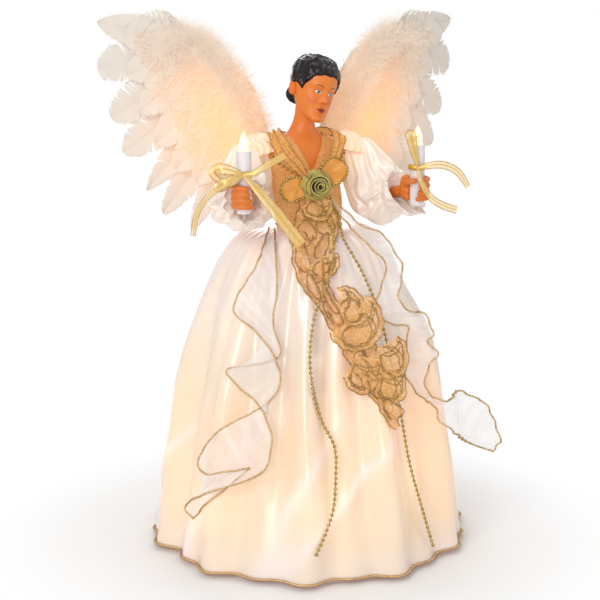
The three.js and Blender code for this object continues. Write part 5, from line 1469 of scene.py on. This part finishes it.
# The cuffs: an open bell of the sleeve's satin at each wrist, longer under the hand than above it,
# scrunched in soft ridges and lined with the same cloth back to the wrist.
CUFF_ROWS = 48
CUFF_COLUMNS = 200
cuff_reach, cuff_turn = grid_of(np.linspace(0, 2, CUFF_ROWS), around(CUFF_COLUMNS, 0))
cuff_faces = sheet_faces(CUFF_ROWS, CUFF_COLUMNS, True)[:, ::-1]
cuff_low = (0.5 - 0.5 * np.sin(cuff_turn)) ** 1.3
cuff_shell = np.minimum(cuff_reach, 1)
cuff_lining = np.clip(cuff_reach - 1, 0, 1)
cuff_wide = (9.2 + 3.6 * np.sin(cuff_shell * math.pi * 0.62)) * (1 - 0.2 * cuff_low * cuff_shell)
for arm_name, arm_side in ARM_SIDES.items():
    cuff_wave = np.sin(8 * cuff_turn + 1.6 * np.sin(2 * cuff_turn + arm_side))
    cuff_wave = cuff_wave + 0.5 * np.sin(17 * cuff_turn + 2)
    cuff_rim = 1.02 + 0.48 * cuff_low + 0.025 * cuff_wave
    cuff_run = 0.9 + (cuff_rim - 0.9) * cuff_shell - (cuff_rim - 0.985) * cuff_lining
    cuff_ridge = 0.9 * cuff_wave + 0.5 * np.sin(9 * cuff_reach + 3 * cuff_turn)
    cuff_out = cuff_wide * (1 - cuff_lining) + 4.4 * cuff_lining
    cuff_out = cuff_out + cuff_ridge * np.sin(cuff_reach * math.pi / 2)
    cuff_points = arm_spots(arm_side, cuff_run, cuff_out, cuff_turn)
    # A faint glow of light is painted on the cuffs.
    cuff = add_piece(f"cuff_frill_{arm_name}", cuff_points, cuff_faces, sleeve_satin, f"arm_{arm_name}",
                     "satin", flat_of(cuff_turn * 12, cuff_reach * 14),
                     {"glow": np.full((len(cuff_points), 3), 0.03)})
    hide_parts(f"cuff_{arm_name}")

# The hands: moulded vinyl fists, one finger above the other round the candle. Each is pushed on the
# end of its arm wire.
FIST_LEVEL = 211.8
CANDLE_RADIUS = 4.1
FIST_RING = CANDLE_RADIUS + 1.7
# Level distances from the wrist to the candle's axis and to the middle of the palm.
CANDLE_REACH = 17
PALM_REACH = 9.2


def candle_axis(side):
    """A place on the upright axis of the candle in a hand."""
    wrist, level = arm_ends(side)[1:]
    return wrist + level * CANDLE_REACH


def capsule(line, radii, sides=12):
    """A round-ended bar along a line, as points and faces."""
    along = unit(np.gradient(line, axis=0))
    first = unit(np.cross(along, [0.3, 0.2, 1.0]))
    second = np.cross(along, first)
    turn = around(sides, 0)
    ring = first[:, None] * np.cos(turn)[:, None] + second[:, None] * np.sin(turn)[:, None]
    radii = np.broadcast_to(radii, len(line))
    rings = [line[0] - along[0] * radii[0] * run + ring[0] * radii[0] * size
             for run, size in ((0.95, 0.1), (0.6, 0.75))]
    rings += list(line[:, None] + ring * radii[:, None, None])
    rings += [line[-1] + along[-1] * radii[-1] * run + ring[-1] * radii[-1] * size
              for run, size in ((0.6, 0.75), (0.95, 0.1))]
    faces = [tuple(face) for face in sheet_faces(len(rings), sides, True)]
    faces.append(tuple(range(sides))[::-1])
    faces.append(tuple(range((len(rings) - 1) * sides, len(rings) * sides)))
    return np.concatenate(rings), faces


def fused(parts, voxel):
    """Several closed forms melted into one smooth skin; returns its points in millimetres and faces."""
    points, faces = joined(parts)
    mesh = bpy.data.meshes.new("fused")
    mesh.from_pydata((points * MM).tolist(), [], faces)
    lump = in_scene("fused", mesh)
    melt = lump.modifiers.new("melt", "REMESH")
    melt.mode = "VOXEL"
    melt.voxel_size = voxel * MM
    rub = lump.modifiers.new("rub", "SMOOTH")
    rub.factor = 0.5
    rub.iterations = 5
    result = bpy.data.meshes.new_from_object(lump.evaluated_get(bpy.context.evaluated_depsgraph_get()))
    bpy.data.objects.remove(lump)
    return points_of(result) / MM, [tuple(polygon.vertices) for polygon in result.polygons]


def hand_form(side):
    """A fist round its candle: four fingers, the thumb, the palm and the wrist."""
    wrist, level = arm_ends(side)[1:]
    axis = candle_axis(side)
    heading = math.atan2(-level[1], -level[0])

    def curled(turn, out, lift):
        """A line round the candle."""
        turn = heading + side * turn
        return np.stack([axis[0] + out * np.cos(turn), axis[1] + out * np.sin(turn), FIST_LEVEL + lift], -1)

    fingers = [capsule(curled(
        np.linspace(0.35, -3.9 + 0.15 * number, 14), FIST_RING,
        (number - 1.5) * 3.4 + 0.5 * np.sin(np.linspace(0, 3, 14)),
    ), np.linspace(1.95, 1.5, 14)) for number in range(4)]
    thumb_line = curled(np.linspace(-0.2, 2.1, 10), FIST_RING + 0.5, np.linspace(2.0, 5.4, 10))
    thumb = capsule(thumb_line, np.linspace(2.3, 1.7, 10))
    heart = wrist + level * PALM_REACH
    palm_line = np.stack([heart + [0, 0, FIST_LEVEL - wrist[2] + lift] for lift in (-4.2, 0, 4.2)])
    palm = capsule(palm_line, [3.6, 4.3, 3.7], 16)
    stem = capsule(np.linspace(wrist - level * 2, heart + [0, 0, 3.2], 6), 3.2, 14)
    return fused([*fingers, thumb, palm, stem], 0.4)


for arm_name, arm_side in ARM_SIDES.items():
    hand_points, hand_faces = hand_form(arm_side)
    hand = add_piece(f"hand_skin_{arm_name}", hand_points, hand_faces, vinyl, f"arm_{arm_name}", "skin", None,
                     {"paint": np.tile(SKIN_TONE * 0.9, (len(hand_points), 1))})
    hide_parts(f"hand_{arm_name}")

# The candles: white plastic tubes with a softened rim, held in the fists. A pointed glass lamp for
# the flame is plugged in the top of each.
CANDLE_FOOT = 202.8
CANDLE_TOP = 236.8
CANDLE_SIDES = 48
FLAME_SIDES = 32
CANDLE_PROFILE = [
    (2.5, CANDLE_FOOT), (3.8, CANDLE_FOOT), (CANDLE_RADIUS, CANDLE_FOOT + 0.4), (CANDLE_RADIUS, 220),
    (CANDLE_RADIUS, CANDLE_TOP - 0.8), (3.95, CANDLE_TOP - 0.25), (3.5, CANDLE_TOP), (2.6, CANDLE_TOP - 0.1),
    (2.5, CANDLE_TOP - 0.6), (2.5, CANDLE_FOOT),
]
FLAME_PROFILE = [(2.2, 227.4), (2.3, 236.9), (2.9, 237.0), (2.6, 237.9)] + [
    (2.7 * math.sin(math.pi * (0.24 + 0.76 * share)) ** 0.9 * (1 - 0.35 * share) + 0.02, 238.0 + 9.4 * share)
    for share in np.linspace(0, 1, 26)
]


def turned(profile, centre, columns):
    """A round piece turned from rows of radius and level about an upright axis: points and faces."""
    ring = np.stack([np.cos(around(columns, 0)), np.sin(around(columns, 0)), np.zeros(columns)], -1)
    return np.concatenate([
        [centre[0], centre[1], height] + radius * ring for radius, height in profile
    ]), sheet_faces(len(profile), columns, True)


candle_white = mottled_finish(
    "candle_white", (0.86, 0.80, 0.80), (0.80, 0.73, 0.74), scale=120, roughness=0.4, bump=0.1,
    plain={"Subsurface Weight": 0.2, "Subsurface Radius": (0.003, 0.002, 0.0015)})
flame_glass = mottled_finish(
    "flame_glass", (1.0, 0.86, 0.55), (1.0, 0.80, 0.42), scale=300, roughness=0.15, bump=0.03,
    plain={"Emission Color": (1.0, 0.72, 0.30, 1), "Emission Strength": 1.5})
for arm_name, arm_side in ARM_SIDES.items():
    arm_axis = candle_axis(arm_side)
    candle = add_piece(f"candle_tube_{arm_name}", *turned(CANDLE_PROFILE, arm_axis, CANDLE_SIDES),
                       candle_white, f"arm_{arm_name}", "candle")
    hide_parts(f"candle_{arm_name}")
    flame = add_piece(f"flame_bulb_{arm_name}", *turned(FLAME_PROFILE, arm_axis, FLAME_SIDES),
                      flame_glass, f"flame_{arm_name}", "lamp")
    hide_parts(f"flame_lamp_{arm_name}")
    dress_node(f"arm_wire_{arm_name}", bright_wire)
    dress_node(f"candle_lead_{arm_name}", lead_skin)

# The candle bows: thin gold ribbon with a wired edge, tied round each candle above the fist.
# Each loop and tail is a row of places to the viewer's right, up and to the front, and its widths.
TIE_LEVEL = 224.3
TIE_RIGHT = np.array([math.cos(math.radians(18)), -math.sin(math.radians(18)), 0])
TIE_FRONT = np.array([-math.sin(math.radians(18)), -math.cos(math.radians(18)), 0])
TIE_FACE = unit(TIE_FRONT + 0.25 * TIE_RIGHT + [0, 0, 0.35])
TIE_ROUTES = {
    "right": [
        ([(0, 0, 5.2), (-6, 2.4, 6.5), (-12, 3.6, 7), (-15.5, 1.5, 5), (-12, -2.2, 3.5), (-6, -1.6, 4),
          (0, 0, 5)], [2, 4.5, 6, 6, 5.5, 4, 2]),
        ([(0, 0, 5.2), (-5, -1.5, 7), (-11, -4.5, 8), (-14, -6.5, 6), (-10, -6, 4.5), (-4, -2, 4.5),
          (0, 0, 5)], [2, 3.5, 5, 5, 4.5, 3, 2]),
        ([(0, 0, 5.2), (5, 1, 6), (13, 5.5, 5), (22, 10.2, 2)], [2, 3, 3.4, 3.2]),
        ([(0, 0, 5.2), (8, -8, 7.5), (18, -20.5, 9.5), (31, -37, 10)], [2.2, 4.5, 6, 6.4]),
        ([(0, 0, 5.2), (-6, -4, 7.5), (-14, -7.5, 7), (-20.5, -13, 5), (-26, -23, 2), (-28, -34, 0)],
         [2, 2.4, 2.6, 2.6, 2.6, 2.4]),
    ],
    "left": [
        ([(0, 0, 5.2), (-1.5, 6, 5.6), (-4.2, 17.4, 5.8), (-4.2, 17.6, 4.8), (-1.5, 6, 4.6), (0, 0, 4.8)],
         [1.6, 3.6, 6.8, 6.8, 3.6, 1.6]),
        ([(0, 0, 5.2), (6, 1.4, 6), (14, 1.6, 5.5), (22, -2.2, 4), (28.5, -11, 2)], [1.8, 3.6, 4.2, 4, 2.8]),
        ([(0, 0, 5.2), (2.4, -8.5, 9), (7.5, -16.5, 9), (14, -20.8, 7), (22, -23.8, 5)],
         [1.8, 2.6, 3.6, 4, 3.8]),
    ],
}
TIE_STEPS = 90
TIE_ROWS = 17
KNOT_SIDES = 36
KNOT_PROFILE = [
    (radius, TIE_LEVEL + lift)
    for radius, lift in ((4.3, -1.6), (5.2, -1.2), (5.5, 0), (5.2, 1.2), (4.3, 1.6))]
gold_sheer, tie_tree = new_finish("gold_sheer", {"Roughness": 0.3})
tie_stripe = paint_of(tie_tree, "stripe")
tie_mix = tree_step(tie_tree, "ShaderNodeMix", {
    "Factor": tie_stripe, "A": (0.93, 0.70, 0.28, 1), "B": (0.68, 0.39, 0.05, 1)}, data_type="RGBA")
feed(tie_tree, {
    "Base Color": tie_mix.outputs["Result"],
    "Alpha": tree_math(tie_tree, "MULTIPLY_ADD", tie_stripe, 0.4, 0.6),
    "Metallic": tree_math(tie_tree, "MULTIPLY", tie_stripe, 0.5),
})
tie_reach = np.linspace(-0.5, 0.5, TIE_ROWS)
tie_gold = np.exp(-(tie_reach / 0.1) ** 2) + np.exp(-((np.abs(tie_reach) - 0.5) / 0.1) ** 2)


def tie_strip(heart, route, widths):
    """One loop or tail of a candle bow: its grid of points and its flat map."""
    right, up, front = np.array(route).T[:, :, None]
    line = through(heart + TIE_RIGHT * right + TIE_FRONT * front + [0, 0, 1] * up, TIE_STEPS)
    wide = np.interp(np.linspace(0, len(widths) - 1, TIE_STEPS), range(len(widths)), widths)
    wide = wide[:, None] * tie_reach
    across = unit(np.cross(unit(np.gradient(line, axis=0)), TIE_FACE))
    points = line[:, None] + across[:, None] * wide[:, :, None]
    points = points + TIE_FACE * (0.5 * np.cos(tie_reach * math.pi))[:, None]
    return points, flat_of(run_of(line)[:, None], wide)


for arm_name, tie_routes in TIE_ROUTES.items():
    tie_heart = candle_axis(ARM_SIDES[arm_name]) * [1, 1, 0] + [0, 0, TIE_LEVEL]
    tie_strips = [tie_strip(tie_heart, *row) for row in tie_routes]
    knot_points, knot_faces = turned(KNOT_PROFILE, tie_heart, KNOT_SIDES)
    tie_points, tie_faces = joined([
        (points.reshape(-1, 3), sheet_faces(TIE_STEPS, TIE_ROWS)) for points, flat in tie_strips
    ] + [(knot_points, knot_faces)])
    tie_map = np.concatenate(
        [flat.reshape(-1, 2) for points, flat in tie_strips] + [knot_points[:, [0, 2]] * MM])
    tie_paint = np.concatenate([np.tile(tie_gold, TIE_STEPS * len(tie_strips)), np.ones(len(knot_points))])
    tie = add_piece(f"candle_tie_{arm_name}", tie_points, tie_faces, gold_sheer, f"arm_{arm_name}",
                    "tie_ribbon", tie_map, {"stripe": tie_paint})
    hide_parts(f"candle_bow_{arm_name}")
    tie_edges = [points[:, row] for points, flat in tie_strips for row in (0, -1)]
    tie_cords = twisted_cord(f"candle_tie_edges_{arm_name}", tie_edges, gold_cord, f"arm_{arm_name}",
                             radius=0.26, pitch=1.3)

# The wings: goose feathers glued in rows to a card backing, each with a quill and a soft vane
# whose barbs split and fray at the tips. Warm light from the body is painted on their inner parts.
HINGE_OUT = 10
HINGE_BACK = 28
HINGE_LEVEL = 222.8
WING_SWEEP = math.radians(16)
LEADING_EDGE = [(14, 21), (18, 38), (29, 57), (46, 70), (62, 72)]
FEATHER_TIPS = [(104.5, 80), (105, 53), (98, 25), (91, 4), (78, -18), (68.5, -32), (52, -42)]
CURL_START = 66
CURL_RUN = 38.5
CURL_DEPTH = 7
BARB_ROWS = 7
QUILL_ROWS = 16
QUILL_SIDES = 5


def on_wing(side, out, up, forward):
    """A point of a wing: out and up from its hinge, forward of its backing."""
    return np.stack([
        side * (HINGE_OUT + out * math.cos(WING_SWEEP) + forward * math.sin(WING_SWEEP)),
        HINGE_BACK + out * math.sin(WING_SWEEP) - forward * math.cos(WING_SWEEP),
        HINGE_LEVEL + up,
    ], -1)


def wing_paint(out, up, warmth=1.0, pale=1.0):
    """The feathers' tone, with warm light painted into it by the body and cool white at the tips, and the
    light painted in them as a glow, warm by the body.
    """
    near = warmth * np.exp(-(((out - 30) / 44) ** 2 + ((up - 16) / 40) ** 2))[..., None]
    return {
        "tone": pale * np.array([0.755, 0.69, 0.615]) * (1 - near) + np.array([0.87, 0.69, 0.57]) * near,
        "glow": np.array([0.045, 0.040, 0.036]) + near * np.array([0.225, 0.115, 0.035]),
    }


def curl_of(out):
    """How far a feather's outer part curls back."""
    return CURL_DEPTH * (np.clip(out - CURL_START, 0, None) / CURL_RUN) ** 2


def feather_form(root, tip, bend, width, blunt, forward, ragged, clumps, dice):
    """One feather's barbs and quill, out, up and forward on the wing: points, faces and flat map."""
    heading = unit(tip - root)
    sideways = np.array([-heading[1], heading[0]])
    length = np.linalg.norm(tip - root)
    along = np.linspace(0, 1, BARB_ROWS)
    thin = 1 - 0.5 * ragged * along ** 3
    parts = []
    flat = []

    def on_vane(run, reach):
        """Points of the vane, along the feather and out from its bent quill."""
        bow = bend * np.sin(math.pi * np.clip(run / length, 0, 1))
        return root + heading * run[:, None] + sideways * (bow + reach)[:, None]

    for way in (-1, 1):
        for clump in range(clumps):
            middle = 0.03 + 0.97 * (clump + 0.5) / clumps
            fray = 1 + ragged * dice.uniform(-0.26, 0.08) * (0.3 + 0.7 * middle)
            lean = 0.26 + dice.normal(0, 0.01 + 0.045 * ragged)
            lift = dice.normal(0, 0.14)
            spread = 0.97 / clumps * dice.uniform(1.1, 1.4)
            barbs = []
            for edge in (-0.5, 0.0, 0.5):
                foot = min(max(middle + edge * spread, 0), 1)
                head = foot + (1 - foot) * lean
                half = width / 2 * fray * math.sin(math.pi * min(head, 0.999) ** 0.8) ** blunt
                run = foot + (head - foot) * (0.7 * along + 0.3 * along ** 2)
                run = middle + (run - middle) * thin if edge else run
                reach = half * np.sin(along * math.pi / 2) ** 0.95
                plane = on_vane(run * length, way * reach)
                camber = 1.2 * np.sin(along * math.pi * 0.8) + lift * along
                barbs.append(np.column_stack([plane, forward + camber - curl_of(plane[:, 0])]))
                flat.append(flat_of(reach, foot * length))
            parts.append((np.concatenate(barbs), sheet_faces(3, BARB_ROWS)))
    share = np.linspace(-0.02, 0.97, QUILL_ROWS)
    quill = on_vane(share * length, 0 * share)[:, None]
    thick = (0.42 - 0.34 * np.clip(share, 0, 1))[:, None]
    turn = around(QUILL_SIDES, 0)
    quill_front = forward + 0.1 - curl_of(quill[:, :, 0]) + thick * np.sin(turn)
    quill_plane = quill + sideways * (thick * np.cos(turn))[:, :, None]
    quill_points = np.concatenate([quill_plane, quill_front[:, :, None]], 2).reshape(-1, 3)
    parts.append((quill_points, sheet_faces(QUILL_ROWS, QUILL_SIDES, True)))
    flat.append(np.zeros((len(quill_points), 2)))
    return (*joined(parts), np.concatenate(flat))


def add_feathers(name, side, wing, forms):
    """One piece of one or more feathers on a wing."""
    points, faces = joined([form[:2] for form in forms])
    out, up, forward = points.T
    return add_piece(name, on_wing(side, out, up, forward), faces, feather_white, f"wing_{wing}", "feather",
                     np.concatenate([form[2] for form in forms]), wing_paint(out, up))


def plume_finish(name, rough, shine, light):
    """Feather painted along the wing with its tone and with the warm light in it, painted as a glow; material
    and tree.
    """
    material, tree = new_finish(name, {
        "Roughness": rough, "Sheen Weight": 0.4, "Specular IOR Level": shine, "Emission Strength": light})
    feed(tree, {"Base Color": paint_of(tree, "tone"), "Emission Color": paint_of(tree, "glow")})
    return material, tree


# The vanes show fine barbs.
feather_white, feather_tree = plume_finish("goose_feather", rough=0.6, shine=0.25, light=1.0)
feather_barbs = tree_step(feather_tree, "ShaderNodeTexWave", {
    "Vector": feather_tree.nodes.new("ShaderNodeUVMap").outputs["UV"],
    "Scale": 420, "Distortion": 2.5, "Detail": 2, "Detail Scale": 1.5,
}, bands_direction="Y")
feed(feather_tree, {"Normal": bump_of(feather_tree, feather_barbs.outputs["Fac"], 0.25, 0.0002)})

# Each long feather's width, bluntness of its tip (smaller is blunter) and how far it is frayed.
FEATHER_LOOKS = [
    (23, 0.62, 0.15), (30, 0.32, 0.8), (30, 0.38, 0.8), (30, 0.45, 0.5), (22, 0.7, 0.3), (22, 0.5, 0.5),
    (18, 0.6, 0.4),
]
# Each row of coverts: how many, their share of the way to the tips, and how far forward they lie.
COVERT_ROWS = [(6, 0.74, 8.0), (5, 0.5, 9.0)]
FEATHER_CLUMPS = 40
COVERT_CLUMPS = 26
EDGE_STEPS = 200
TIP_STEPS = 301
leading_line = even_line(LEADING_EDGE, EDGE_STEPS)
tip_line = through(FEATHER_TIPS, TIP_STEPS)


def wing_ends(edge_share, tip_share):
    """Places on the leading edge and along the feathers' tips, by share of each line."""
    return (leading_line[np.array((EDGE_STEPS - 1) * edge_share).astype(int)],
            tip_line[np.array((TIP_STEPS - 1) * tip_share).astype(int)])


for wing_name, wing_side in ARM_SIDES.items():
    wing_dice = np.random.default_rng(11 + wing_side)
    for feather_number, (feather_width, feather_blunt, feather_ragged) in enumerate(FEATHER_LOOKS):
        feather_share = feather_number / 6
        feather_start, feather_tip = wing_ends(0.84 - 0.84 * feather_share, feather_share)
        feather_root = feather_start + 2 * unit(feather_tip - feather_start)
        if feather_number == 0:
            feather_root = feather_root + [0, -9]
        feather_shape = feather_form(
            feather_root, feather_tip, 2, feather_width, feather_blunt, 7.3 - feather_number,
            feather_ragged, FEATHER_CLUMPS, wing_dice)
        feather = add_feathers(
            f"feather_vane_{feather_number + 1}_{wing_name}", wing_side, wing_name, [feather_shape])
        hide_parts(f"feather_{feather_number + 1}_{wing_name}")
    coverts = []
    for covert_row, (covert_count, covert_length, covert_front) in enumerate(COVERT_ROWS):
        for covert_number in range(covert_count):
            covert_share = (covert_number + 0.35) / covert_count
            covert_start, covert_aim = wing_ends(0.95 - 0.9 * covert_share, covert_share)
            covert_reach = covert_length * wing_dice.uniform(0.9, 1.1)
            covert_tip = covert_start + (covert_aim - covert_start) * covert_reach
            coverts.append(feather_form(
                covert_start, covert_tip, wing_dice.uniform(-2, 3), 27 - 3 * covert_row, 0.42,
                covert_front - 0.9 * covert_share, 0.45, COVERT_CLUMPS, wing_dice))
    add_feathers(f"coverts_{wing_name}", wing_side, wing_name, coverts)
    dress_node(f"wing_backing_{wing_name}", card)

# The down: a strip of marabou glued along each wing's leading edge, all fine curling fibres, with
# loose tufts of it over the inner feathers.
down_tree, down_in, down_keys = line_tree("marabou", ["Density", "Length", "Width", "Spread"])


def down_arrow(**parts):
    """A vector in the down's tree from its parts."""
    return tree_step(down_tree, "ShaderNodeCombineXYZ", parts).outputs["Vector"]


def down_times(label, factor):
    """A size of the down's tree times a number."""
    return tree_math(down_tree, "MULTIPLY", down_in[label], factor)


down_spots = tree_step(down_tree, "GeometryNodeDistributePointsOnFaces", {
    "Mesh": down_in["Geometry"], "Density": down_in["Density"], "Seed": 5})
down_curve = tree_step(down_tree, "GeometryNodeCurveQuadraticBezier", {
    "Resolution": 3, "Start": (0, 0, 0), "Middle": down_arrow(Z=down_times("Length", 0.6)),
    "End": down_arrow(X=down_times("Length", 0.55), Z=down_times("Length", 0.85)),
})
down_flat = tree_step(down_tree, "GeometryNodeCurvePrimitiveLine", {
    "Start": down_arrow(X=down_times("Width", -1.0)), "End": down_arrow(X=down_in["Width"])})
down_fibre = tree_step(down_tree, "GeometryNodeCurveToMesh", {
    "Curve": down_curve.outputs["Curve"], "Profile Curve": down_flat.outputs["Curve"]})
down_aim = tree_step(down_tree, "FunctionNodeAlignRotationToVector", {
    "Vector": down_spots.outputs["Normal"]}, axis="Z")
down_least = down_times("Spread", -1.0)
down_turn = tree_step(down_tree, "FunctionNodeRandomValue", {
    "Min": down_arrow(X=down_least, Y=down_least),
    "Max": down_arrow(X=down_in["Spread"], Y=down_in["Spread"], Z=2 * math.pi),
    "Seed": 7,
}, data_type="FLOAT_VECTOR")
down_spin = tree_step(down_tree, "FunctionNodeRotateRotation", {
    "Rotation": down_aim.outputs["Rotation"], "Rotate By": down_turn.outputs["Value"],
}, rotation_space="LOCAL")
down_size = tree_step(down_tree, "FunctionNodeRandomValue", {2: 0.45, 3: 1.15, "Seed": 9}, data_type="FLOAT")
down_set = tree_step(down_tree, "GeometryNodeInstanceOnPoints", {
    "Points": down_spots.outputs["Points"], "Instance": down_fibre.outputs["Mesh"],
    "Rotation": down_spin.outputs["Rotation"], "Scale": down_size.outputs[1],
})
end_tree(down_tree, down_set.outputs["Instances"], down_in["Finish"])
marabou = plume_finish("white_marabou", rough=0.75, shine=0.15, light=1.5)[0]
DOWN_PALE = 1.24


def grow_down(name, side, wing, points, faces, density, length, width, spread, warmth):
    """Fibres grown on a base of faces, with the tone and the painted glow of light of the feathers round
    them.
    """
    faces = [tuple(face) for face in (faces[:, ::-1] if side > 0 else faces)]
    values = dict(zip(down_keys, (density, length * MM, width * MM, spread, marabou)))
    piece = grow_piece(name, points, [], faces, down_tree, values, f"wing_{wing}", "feather")
    x, y, z = points_of(piece.data).T / MM
    out = (side * x - HINGE_OUT) * math.cos(WING_SWEEP) + (y - HINGE_BACK) * math.sin(WING_SWEEP)
    for label, colours in wing_paint(out, z - HINGE_LEVEL, warmth, DOWN_PALE).items():
        paint_mesh(piece.data, label, colours)


DOWN_STEPS = 60
DOWN_SIDES = 20
DOWN_EDGE = [(11.5, 12), (14.5, 21), (19, 31), (27, 45), (35, 58), (46, 69), (58, 68), (66, 65)]
TUFT_COUNT = 1500
TUFT_HALF = 1.2
down_line = even_line(DOWN_EDGE, DOWN_STEPS)
down_slope = unit(np.gradient(down_line, axis=0))
down_turns = around(DOWN_SIDES, 0)
down_taper = (0.35 + 0.65 * np.sin(np.linspace(0.25, 2.75, DOWN_STEPS)))[:, None]
core_out = down_line[:, :1] - down_slope[:, 1:] * 3.6 * down_taper * np.cos(down_turns)
core_up = down_line[:, 1:] + down_slope[:, :1] * 3.6 * down_taper * np.cos(down_turns)
core_front = 11.0 + 2.6 * down_taper * np.sin(down_turns)
core_faces = sheet_faces(DOWN_STEPS, DOWN_SIDES, True)
for wing_name, wing_side in ARM_SIDES.items():
    core_points = on_wing(wing_side, core_out, core_up, core_front).reshape(-1, 3)
    core = add_piece(f"down_core_{wing_name}", core_points, core_faces[:, ::-wing_side], marabou,
                     f"wing_{wing_name}", "feather", None,
                     wing_paint(core_out.ravel(), core_up.ravel(), 0.4, DOWN_PALE))
    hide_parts(f"wing_fluff_{wing_name}")
    grow_down(f"down_edge_{wing_name}", wing_side, wing_name, core_points, core_faces,
              density=9000000.0, length=13.5, width=0.07, spread=0.9, warmth=0.32)

    # The tufts are combed out along the feathers.
    tuft_dice = np.random.default_rng(23 + wing_side)
    tuft_share = tuft_dice.uniform(0.02, 1, TUFT_COUNT)
    tuft_reach = 0.08 + 0.56 * tuft_dice.beta(1, 1.5, TUFT_COUNT)
    tuft_start, tuft_aim = wing_ends(0.97 - 0.95 * tuft_share, tuft_share)
    tuft_way = tuft_aim - tuft_start
    tuft_turn = np.arctan2(tuft_way[:, 1], tuft_way[:, 0]) + tuft_dice.normal(0, 0.3, TUFT_COUNT)
    tuft_rise = tuft_dice.uniform(0.1, 0.6, TUFT_COUNT)
    tuft_normal = unit(np.stack([np.cos(tuft_turn), np.sin(tuft_turn), tuft_rise], -1))
    tuft_first = unit(np.cross([0, 0, 1.0], tuft_normal)) * TUFT_HALF
    tuft_second = np.cross(tuft_normal, tuft_first)
    tuft_heart = np.column_stack([tuft_start + tuft_way * tuft_reach[:, None], 10.5 - 3 * tuft_reach])
    tuft_points = np.stack([
        tuft_heart + tuft_first * across + tuft_second * up
        for across, up in ((-1, -1), (1, -1), (1, 1), (-1, 1))], 1)
    tuft_points = on_wing(wing_side, *tuft_points.reshape(-1, 3).T)
    grow_down(f"down_inner_{wing_name}", wing_side, wing_name, tuft_points,
              np.arange(4 * TUFT_COUNT).reshape(-1, 4),
              density=2400000.0, length=15, width=0.08, spread=0.4, warmth=0.95)
